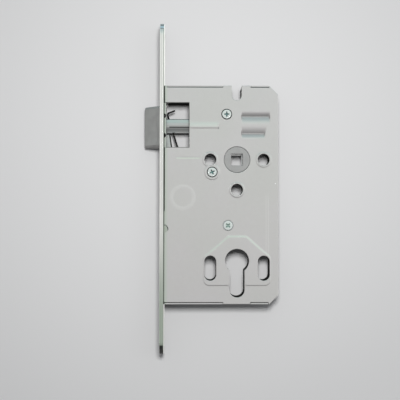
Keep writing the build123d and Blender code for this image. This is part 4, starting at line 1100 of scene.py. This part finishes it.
class Finish(Graph):
    """A material round one Principled shader, with a running colour."""

    def __init__(self, name, **fixed):
        self.material = bpy.data.materials.new(name)
        self.material.use_nodes = True
        super().__init__(self.material.node_tree)
        self.shader = self.tree.nodes["Principled BSDF"]
        for socket, value in fixed.items():
            self.shader.inputs[socket.replace("_", " ")].default_value = value
        self.place = self.node("ShaderNodeTexCoord", output="Object")
        self.x, self.y, self.z = (
            self.node("ShaderNodeSeparateXYZ", sockets={0: self.place}, output=axis) * (1 / MM)
            for axis in "XYZ"
        )
        self.colour = None

    def away_from(self, place):
        """Distance in the case's plane from a place: the root of the sum of squares."""
        return ((self.x - place[0]) ** 2.0 + (self.z - place[1]) ** 2.0) ** 0.5

    def box(self, **sides):
        """1 in a box with soft sides, each a band along x, y or z."""
        share = 1.0
        for axis, ends in sides.items():
            share = getattr(self, axis).band(*ends) * share
        return share

    def noise(self, scale, detail=2.0, roughness=0.5, stretch=None, turn=(0, 0, 0)):
        """A cloudy number, mostly between 0.3 and 0.7, that may be stretched along an axis."""
        place = self.place
        if stretch:
            sockets = {"Vector": place, "Scale": stretch, "Rotation": turn}
            place = self.node("ShaderNodeMapping", sockets=sockets)
        sockets = {"Vector": place, "Scale": scale, "Detail": detail, "Roughness": roughness}
        return self.node("ShaderNodeTexNoise", sockets=sockets)

    def cells(self, scale, output):
        """A pattern of crystals: the distance to each one's middle, or a colour of its own."""
        return self.node("ShaderNodeTexVoronoi", sockets={"Vector": self.place, "Scale": scale}, output=output)

    def mixed(self, share, first, second):
        """A colour between two, by a share."""
        first, second = (part if isinstance(part, Value) else (*part, 1) for part in (first, second))
        sockets = {MIX_SHARE: share, MIX_FIRST: first, MIX_SECOND: second}
        return self.node("ShaderNodeMix", {"data_type": "RGBA"}, sockets, MIX_COLOUR)

    def paint(self, share, colour):
        """Paints a colour over the running one, by a share."""
        self.colour = self.mixed(share, self.colour, colour)

    def done(self, roughness, grain=None, depth=0.0):
        """Links colour, roughness and, where there is a grain, a bump whose depth is in millimetres."""
        links = {"Base Color": self.colour, "Roughness": roughness}
        if grain:
            sockets = {"Height": grain, "Distance": depth * MM, "Strength": 1.0}
            links["Normal"] = self.node("ShaderNodeBump", sockets=sockets)
        for socket, value in links.items():
            self.tree.links.new(value.socket, self.shader.inputs[socket])
        return self


print("a finish can", ", ".join(name for name in vars(Finish) if not name.startswith("_")))

# %% [markdown]
# ## Zinc-plated sheet
# Zinc plating is never one grey. The current lays it down in faint clouds, the rolled sheet
# under it has fine lines, and a thin clear chromate film gives it a trace of green. A picture
# of metal would repeat and blur close up, and noise at several sizes does neither.

# %% Satin zinc
def satin_zinc(finish):
    """Clouds in colour, a spangle of crystals and a fine grain. Gives clouds, lines, grain and spangle."""
    clouds = finish.noise(22, 3.0, 0.55)
    patches = finish.noise(9, 1.0)
    lines = finish.noise(1.0, 2.0, 0.6, (1500, 1500, 25))
    grain = finish.noise(2600, 2.0, 0.6)
    spangle = finish.node("ShaderNodeSeparateColor", sockets={0: finish.cells(420, "Color")})
    tint = (patches * 0.7 + clouds * 0.3).step(0.42, 0.62)
    finish.colour = finish.mixed(tint, (0.556, 0.545, 0.549), (0.549, 0.546, 0.538))
    finish.paint(clouds.step(0.35, 0.7) * 0.5, (0.555, 0.555, 0.540))
    finish.paint(spangle * 0.10 + grain * 0.16, (0.67, 0.67, 0.665))
    return clouds, lines, grain, spangle


zinc = Finish("zinc_sheet", Metallic=0.82)
zinc_clouds, zinc_lines, zinc_grain, zinc_spangle = satin_zinc(zinc)
print("the plain zinc has", len(zinc.tree.nodes), "nodes")

# %% [markdown]
# ## Where light doesn't reach
# Between the cover and the tray it is dark, and so are the joints at the slits, at the forend
# and round the screws. A lamp in the scene leaves these gaps paler than they look, because the
# metal's gloss mirrors the room into them, so their inner faces are painted dark.

# %% Dark joints and gaps of the case
cover_skin, front_half = zinc.y.below(-7.7, -7.5), zinc.y.below(0.0, 0.1)
beneath = zinc.y.step(-7.9, -7.8) * front_half
rubbed = zinc.away_from(COIL).near(RING_RADIUS, 0.6, 2.1) * cover_skin * zinc_clouds.step(0.3, 0.6)
zinc.paint(rubbed * 0.32, (0.70, 0.70, 0.695))
# A greenish painted highlight along the case's front edge, beside the forend.
zinc.paint(zinc.x.below(3.6, 6.6) * zinc.y.below(-6.0, -5.0) * 0.8, (0.50, 0.56, 0.495))
zinc.paint(zinc.x.below(3.3, 3.7) * zinc.z.below(-16.6, -16.4) * cover_skin * 0.8, (0.20, 0.23, 0.20))
beyond_window = zinc.z.step(60.6, 60.8) + zinc.z.below(28.8, 29.0)
zinc.paint(zinc.x.below(3.6, 3.8) * beneath * beyond_window, (0.02, 0.024, 0.02))
zinc.paint(zinc.x.below(3.3, 3.6) * beneath * (1 - beyond_window) * 0.7, (0.05, 0.06, 0.05))
for low, high, left, right in (
    (71.6, 72.1, 4.8, 45.0), (71.6, 72.1, 65.0, 77.9), (-81.7, -81.2, 3.6, 45.0), (-81.7, -81.2, 64.5, 77.2),
):
    slit = zinc.box(z=(low - 0.1, low, high, high + 0.1), x=(left, left + 0.1, right - 0.1, right))
    zinc.paint(slit * beneath, (0.03, 0.034, 0.03))
off_walls = zinc.box(x=(5.2, 5.8, 83.6, 83.9), z=(-82.0, -81.7, 72.2, 72.5))
off_walls = off_walls * (zinc.x + zinc.z).below(149.9, 150.3) * (zinc.x - zinc.z).below(159.4, 159.8)
troughs = zinc.box(x=(57.0, 57.4, 79.4, 79.8), z=(34.0, 34.4, 55.2, 55.6)) * zinc.y.below(-4.5, -4.0)
off_walls = off_walls * (1 - troughs)
zinc.paint(off_walls * zinc.y.band(-7.8, -7.74, -6.7, -6.6) * 0.75, (0.13, 0.135, 0.13))
zinc.paint(off_walls * zinc.y.band(-7.0, -6.9, 6.55, 6.65) * 0.95, (0.03, 0.03, 0.03))
print("with its dark gaps it has", len(zinc.tree.nodes), "nodes")

# %% [markdown]
# ## Marks on the cover
# Each mark is a small soft box or ring, painted in this order: the tab in a darker green,
# painted shade on the upper half of the arc round it, two upright lines of painted highlight,
# painted shade on the case's edge beside the latch head's eyes, the screws' dark seats, a
# painted highlight on the crown of the bead and painted shade at its end, painted highlights
# along the groove and the pad's upper slope, painted shade on the rim of the window and a
# painted highlight on the pip.

# %% Marks, painted highlights and painted shade on the cover
tab = zinc.away_from(TAB)
# Two upright lines of painted highlight on the cover's face.
streak_highlights = zinc.x.near(75.7, 0.2, 0.6) * 0.5 + zinc.x.near(77.2, 0.1, 0.4)
cover_marks_and_painted_light = [
    (tab.below(2.4, 2.7) * cover_skin * 0.85, (0.40, 0.45, 0.385)),
    # Painted shade on the upper half of the arc round the tab.
    (tab.band(2.5, 2.7, 3.0, 3.3) * zinc.z.step(-31.8, -29.0) * cover_skin * 0.8, (0.16, 0.17, 0.155)),
    (streak_highlights * zinc.z.band(-52.0, -44.0, -8.0, -3.0) * cover_skin * 0.35, (0.75, 0.75, 0.74)),
]
# Painted shade on the case's edge, continuing the latch head's dark eyes.
for x, z in LATCH_EYES:
    cover_marks_and_painted_light.append((zinc.away_from((x + 0.2, z)).below(1.7, 1.8) * front_half, (0.01, 0.01, 0.01)))
for place in SCREWS:
    cover_marks_and_painted_light.append((zinc.away_from(place).below(3.7, 3.85) * beneath, (0.03, 0.033, 0.03)))
cover_marks_and_painted_light += [
    # Painted highlight on the crown of the bead.
    (zinc.box(z=(42.8, 44.0, 44.8, 47.8), x=(21.2, 21.6, 39.5, 42.5)) * cover_skin * 0.55, (0.62, 0.67, 0.635)),
    # Painted shade at the bead's end.
    (zinc.x.near(41.8, 0.2, 0.6) * zinc.z.near(42.6, 0.5, 1.1) * cover_skin * 0.7, (0.20, 0.21, 0.205)),
    # Painted highlight along the groove.
    (zinc.x.band(11.4, 12.4, 27.2, 30.0) * zinc.z.near(21.0, 0.3, 0.8) * cover_skin * 0.6, (0.64, 0.69, 0.62)),
    # Painted highlight on the pad's upper slope.
    (zinc.box(y=(-8.31, -8.29, -8.08, -8.03), z=(-50.0, -44.0, -32.5, -32.0)) * 0.35, (0.58, 0.68, 0.60)),
    # Painted shade on the window's rim and cut edge.
    (zinc.box(x=(4.2, 4.6, 21.1, 21.3), z=(28.4, 28.6, 60.9, 61.1)) * zinc.y.below(-6.7, -6.6) * 0.8,
     (0.05, 0.055, 0.05)),
    # Painted highlight on the pip.
    (zinc.away_from(PIP).below(0.2, 0.6) * cover_skin, (0.95, 0.95, 0.95)),
]
for share, colour in cover_marks_and_painted_light:
    zinc.paint(share, colour)
zinc.done(
    0.27 + zinc_clouds * 0.12 + zinc_lines * 0.06 + zinc_spangle * 0.03,
    zinc_grain * 0.6 + zinc_lines * 0.4, 0.0035,
)
print("marks:", len(cover_marks_and_painted_light), "nodes:", len(zinc.tree.nodes))

# %% [markdown]
# ## Ground steel
# The forend is ground along its length and then plated, so its scratches run that way: noise
# stretched more than a hundredfold. Its edge is painted darker towards the low end, a painted
# reflection of the dark below, and its back edge gets a line of painted shade. The round tips
# get painted shade, with one painted pale gleam above and none below.

# %% Forend's finish
def forend_steel():
    """Ground and plated steel: fine scratches along the forend, and tones, painted reflections and painted
    shade along its edge.
    """
    finish = Finish("ground_steel", Metallic=0.9)
    scratches = finish.noise(1.0, 3.0, 0.65, (4200, 4200, 30))
    clouds = finish.noise(30, 2.0)
    off_screws = ((finish.y ** 2.0 + (finish.z.size() - SINKS[0][0]) ** 2.0) ** 0.5).step(5.0, 5.2)
    rim = finish.x.band(0.1, 0.3, 2.8, 3.0) * off_screws
    tip = finish.z.step(113.2, 113.7) * rim
    finish.colour = finish.mixed(clouds, (0.84, 0.83, 0.815), (0.78, 0.775, 0.755))
    for share, colour in (
        # Painted reflection of the dark below: the edge darker and greener towards the low end.
        (finish.z.below(-90.0, -15.0) * (rim * 0.75 + 0.25) * 0.95, (0.31, 0.38, 0.305)),
        (scratches.step(0.5, 0.85) * 0.25, (0.62, 0.63, 0.62)),
        (finish.x.near(1.3, 0.1, 0.4) * 0.5, (0.42, 0.43, 0.42)),
        (finish.x.step(1.9, 2.2) * 0.35, (0.50, 0.53, 0.49)),
        # Painted shade along the forend's back edge.
        (finish.x.step(2.5, 2.7) * finish.y.below(-9.0, -8.5) * 0.8, (0.12, 0.14, 0.12)),
        # Painted shade on the top tip, with a painted pale gleam on it.
        (tip * 0.85, (0.27, 0.27, 0.29)),
        (tip * finish.z.near(115.0, 0.4, 1.2), (0.68, 0.78, 0.86)),
        # Painted shade on the bottom tip.
        (finish.z.below(-111.4, -111.0) * rim * (1 - finish.x.step(1.8, 3.0) * 0.6), (0.06, 0.065, 0.06)),
        (finish.z.below(-115.0, -112.5) * rim * 0.8, (0.17, 0.17, 0.17)),
    ):
        finish.paint(share, colour)
    return finish.done(0.24 + scratches * 0.16 + clouds * 0.05, scratches, 0.005)


ground = forend_steel()
print("ground steel:", len(ground.tree.nodes), "nodes")

# %% [markdown]
# ## Cast zinc
# Die-cast pieces have a matt skin. The melt cools in blotches, the die leaves a fine grain,
# and small pits hold old oil. The latch head and the follower's collars share one function,
# with their own greys.

# %% Cast finishes
def cast_zinc(name, dark, light, grain_size, eyes=(), bore=None):
    """Blotches, grain and pits, with painted shade in blind holes at (x, z) and on the walls of a bore."""
    finish = Finish(name, Metallic=0.55)
    blotches = finish.noise(140, 3.0, 0.6)
    grain = finish.noise(grain_size, 3.0, 0.7)
    pits = finish.cells(900, "Distance").step(0.05, 0.22)
    finish.colour = finish.mixed(blotches.step(0.3, 0.7) * 0.6 + grain * 0.3, dark, light)
    finish.paint((1 - pits) * 0.35, tuple(0.6 * part for part in dark))
    # Painted shade deep in each blind hole.
    for place in eyes:
        eye = finish.away_from(place).below(1.35, 1.55) * finish.y.below(-2.5, -2.0)
        finish.paint(eye, (0.012, 0.012, 0.013))
    # Painted shade on the bore's walls.
    if bore:
        walls = finish.away_from(bore).below(5.9, 6.0) * finish.y.near(0.0, 7.4, 7.7)
        finish.paint(walls * 0.9, (0.03, 0.03, 0.031))
    return finish.done(0.50 + grain * 0.12 + blotches * 0.06, grain * 0.7 + pits * 0.3, 0.02)


cast_latch = cast_zinc("cast_latch", (0.325, 0.325, 0.322), (0.40, 0.40, 0.395), 1600, LATCH_EYES)
cast_hub = cast_zinc("cast_hub", (0.395, 0.395, 0.393), (0.455, 0.455, 0.452), 2200, bore=SPINDLE)
print("cast zinc:", len(cast_latch.tree.nodes), "nodes")

# %% [markdown]
# ## Bright steel inside
# Punched parts are tumbled and plated bright. In the window the latch's bar gets painted shade
# on its low facet and below it, a painted highlight on its ridge and painted shade in the creases
# beside it, and the heel's cut edge gets painted shade.

# %% Bright steel
def bright_steel():
    """Bright zinc, a little blue, with short scratches from tumbling, and painted light and shade on the bar
    and the heel.
    """
    finish = Finish("bright_steel", Metallic=0.92)
    clouds = finish.noise(90, 2.0)
    scratches = finish.noise(1.0, 2.0, 0.6, (260, 2400, 2400), (0.2, 0.4, 0.1))
    finish.colour = finish.mixed(clouds.step(0.35, 0.65), (0.50, 0.54, 0.54), (0.55, 0.565, 0.55))
    finish.paint(scratches.step(0.5, 0.8) * 0.4, (0.40, 0.415, 0.415))
    # Painted shade on the heel's cut edge.
    slanted_end = (finish.x - 8.1 + (finish.z - 29.5) * (1.3 / 9.1)).step(-0.6, -0.3)
    heel = finish.box(z=(29.3, 29.5, 38.6, 38.8), y=(1.2, 1.3, 3.0, 3.1)) * slanted_end
    finish.paint(heel * finish.x.below(8.8, 8.9), (0.03, 0.033, 0.03))
    bar = finish.x.below(22.5, 23.5) * finish.y.below(-1.6, -1.5)
    crease_shade = finish.z.band(43.3, 43.5, 44.0, 44.2) * finish.x.step(6.4, 6.8) + finish.z.step(49.1, 49.3)
    # Painted shade on the bar's low facet, below it and in its creases, and a painted highlight on its ridge.
    for share, colour in (
        (finish.z.band(42.0, 43.2, 45.5, 45.8) * 0.7, (0.36, 0.355, 0.35)),
        (finish.z.band(46.2, 46.4, 46.7, 47.0), (0.46, 0.45, 0.455)),
        (finish.z.band(40.0, 41.8, 42.4, 42.8) * 0.5, (0.16, 0.16, 0.16)),
        (crease_shade * 0.95, (0.012, 0.014, 0.014)),
    ):
        finish.paint(bar * share, colour)
    return finish.done(0.24 + clouds * 0.12 + scratches * 0.08, scratches, 0.006)


bright = bright_steel()
print("bright steel:", len(bright.tree.nodes), "nodes")

# %% [markdown]
# ## Spring wire and screws
# Oil-hardened wire is near black and a little glossy, and brown where the oil has dried. The
# screws are bright blue zinc with painted shade deep in the cross recess, and each head has a
# dark joint round it.

# %% Wire and screws
def spring_wire():
    """Near black, with a brown film in patches and fine lines from drawing."""
    finish = Finish("spring_wire", Metallic=0.3)
    film = finish.noise(300, 2.0)
    drawn = finish.noise(2500, 2.0)
    finish.colour = finish.mixed(film.step(0.4, 0.7), (0.004, 0.004, 0.005), (0.014, 0.011, 0.009))
    return finish.done(0.28 + film * 0.2 + drawn * 0.06)


def screw_zinc():
    """Bright blue zinc, with painted shade in the recess, and dark on the flank of each head."""
    finish = Finish("screw_zinc", Metallic=0.9)
    grain = finish.noise(1800, 2.0)
    finish.colour = finish.mixed(finish.noise(350, 2.0), (0.70, 0.74, 0.73), (0.62, 0.67, 0.66))
    # Painted shade deep in the cross recess.
    finish.paint(finish.y.step(-8.15, -7.35), (0.14, 0.25, 0.25))
    finish.paint(finish.away_from(SCREWS[2]).below(2.0, 2.1) * 0.55, (0.56, 0.67, 0.61))
    for place in SCREWS:
        flank = finish.away_from(place).band(3.2, 3.3, 3.6, 3.7) * finish.y.step(-8.2, -8.1)
        finish.paint(flank, (0.02, 0.025, 0.025))
    return finish.done(0.26 + grain * 0.14, grain, 0.006)


finishes = {
    "zinc_steel": zinc, "forend_steel": ground, "bright_steel": bright, "die_cast": cast_latch,
    "hub_zinc": cast_hub, "spring_wire": spring_wire(), "screw_zinc": screw_zinc(),
}
for subpart in frame["record"]["subparts"]:
    dressed.append((nodes[subpart["node"]], subpart["material_slot"]))
for piece, slot in dressed:
    piece.data.materials.clear()
    piece.data.materials.append(finishes[slot].material)
print("finishes:", sorted(finishes))

# %% [markdown]
# ## The sheet behind the lock
# The lock lies on a pale sheet, which catches its shadow. It is seen from its front only, far
# out it glows evenly instead of falling off, and it keeps out of the metal's reflections,
# which show the pale world instead.

# %% Sheet
SHEET_Y, SHEET_HALF = 10.05, 700.0
sheet_corners = np.array(box_corners(-SHEET_HALF, SHEET_HALF, -SHEET_HALF, SHEET_HALF))
sheet_mesh = bpy.data.meshes.new("pale_sheet")
sheet_mesh.from_pydata((np.insert(sheet_corners, 1, SHEET_Y, axis=1) * MM).tolist(), [], [(0, 1, 2, 3)])
sheet = bpy.data.objects.new("pale_sheet", sheet_mesh)
bpy.context.scene.collection.objects.link(sheet)
paper = Finish("pale_paper", Roughness=0.9, Base_Color=(0.71, 0.713, 0.72, 1))
matt = Value(paper, paper.shader.outputs[0])
glow = paper.node("ShaderNodeEmission", sockets={"Color": (0.68, 0.683, 0.69, 1)})
far_out = paper.away_from((0, 0)).step(170, 450)
spread = paper.node("ShaderNodeMixShader", sockets={0: far_out, 1: matt, 2: glow})
behind = paper.node("ShaderNodeNewGeometry", output="Backfacing")
clear = paper.node("ShaderNodeBsdfTransparent")
one_sided = paper.node("ShaderNodeMixShader", sockets={0: behind, 1: spread, 2: clear})
paper.tree.links.new(one_sided.socket, paper.tree.nodes["Material Output"].inputs[0])
sheet_mesh.materials.append(paper.material)
sheet.visible_diffuse = sheet.visible_glossy = sheet.visible_transmission = sheet.visible_shadow = False
print("the sheet lies", round(SHEET_Y - FOREND_HALF_WIDTH, 3), "mm behind the forend")

# %% [markdown]
# ## The world
# Polished metal shows the room around it. Mirror rays see a room that is dark below, brightest
# at eye height and cool above, a little lighter at the right. Other rays see plain soft
# daylight from the front, and the camera sees a pale backdrop.

# %% World
ROOM = (
    (0.001, (0.18, 0.178, 0.175)), (0.20, (0.48, 0.478, 0.475)), (0.42, (0.90, 0.895, 0.890)),
    (0.54, (1.0, 0.998, 0.993)), (0.62, (1.12, 1.14, 1.11)), (0.72, (1.04, 1.20, 1.10)),
    (0.83, (0.62, 0.77, 0.78)), (0.999, (0.50, 0.64, 0.65)),
)
world = bpy.data.worlds.new("pale_room")
bpy.context.scene.world = world
world.use_nodes = True
sky = Graph(world.node_tree)
sky.tree.nodes.clear()
direction = sky.node("ShaderNodeTexCoord", output="Generated")
right, back, up = (sky.node("ShaderNodeSeparateXYZ", sockets={0: direction}, output=axis) for axis in "XYZ")
glossy, through, camera_ray, depth = (
    sky.node("ShaderNodeLightPath", output=ray)
    for ray in ("Is Glossy Ray", "Is Transmission Ray", "Is Camera Ray", "Diffuse Depth")
)
room = sky.node("ShaderNodeValToRGB", {"stops": ROOM}, {0: up.spread(-1, 1, 0, 1)})
sideways = right.spread(-1, 1, 0.80, 1.20)
room = sky.node("ShaderNodeVectorMath", {"operation": "SCALE"}, {0: room, "Scale": sideways})
daylight = back.spread(-0.5, 0.1, 1.0, 0.02) * up.spread(-0.4, 0.6, 0.13, 0.31)
lit, mirrored, white = (
    sky.node("ShaderNodeBackground", sockets={"Color": colour, "Strength": strength})
    for colour, strength in (((0.97, 0.985, 1.0, 1), daylight), (room, 1.0), ((0.82, 0.83, 0.85, 1), 1.0))
)
seen = (glossy.most(through) - depth).spread(0, 1, 0, 1)
indirect = sky.node("ShaderNodeMixShader", sockets={0: seen, 1: lit, 2: mirrored})
shown = sky.node("ShaderNodeMixShader", sockets={0: camera_ray, 1: indirect, 2: white})
sky.node("ShaderNodeOutputWorld", sockets={0: shown})
print("the room has", len(ROOM), "bands of light")

# %% [markdown]
# ## Lamps
# A soft key above the middle gives the case its short shadow, a weak fill and a top lamp open
# the shadows, and two lamps behind the sheet's plane light the lock's other side.

# %% Lamps
AIM = Vector((0.035, 0, -0.01))
LAMPS = (
    ("key", (0.045, -0.50, 0.095), 0.12, 2.15, (1.0, 0.995, 0.985), False),
    ("fill", (0.85, -0.85, 0.05), 0.55, 0.5, (0.98, 0.99, 1.0), False),
    ("top", (0.05, -0.20, 0.95), 0.7, 0.6, (0.88, 0.95, 1.0), False),
    ("rear", (0.45, 0.75, 0.45), 0.6, 0.6, (1.0, 1.0, 1.0), True),
    ("rear_low", (-0.60, 0.55, -0.25), 0.6, 0.3, (1.0, 1.0, 1.0), True),
)
for name, place, size, power, colour, in_mirrors in LAMPS:
    lamp = bpy.data.objects.new(name, bpy.data.lights.new(name, "AREA"))
    bpy.context.scene.collection.objects.link(lamp)
    lamp.data.shape, lamp.data.size, lamp.data.energy, lamp.data.color = "SQUARE", size, power, colour
    lamp.location = place
    lamp.visible_glossy, lamp.visible_camera = in_mirrors, False
    lamp.rotation_euler = (AIM - Vector(place)).to_track_quat("-Z", "Y").to_euler()
    print(name, "lamp:", power, "W")

# %% [markdown]
# ## The camera
# It stands square before the case, half a metre off, and was fitted to known sizes of the
# lock. A sensor width and a focal length together give the angle of view.

# %% Camera
camera = bpy.data.objects.new("camera", bpy.data.cameras.new("camera"))
bpy.context.scene.collection.objects.link(camera)
camera.location = (0.02318, -0.51023, -0.02363)
camera.rotation_euler = Euler((radians(91.6960), radians(-0.0682), radians(-0.6322)))
camera.data.sensor_width = 36.0
camera.data.lens = 63.68
camera.data.clip_start = 0.01
bpy.context.scene.camera = camera
bpy.context.scene.view_settings.view_transform = "Standard"
print("angle of view:", round(degrees(camera.data.angle), 2), "degrees")

# %% [markdown]
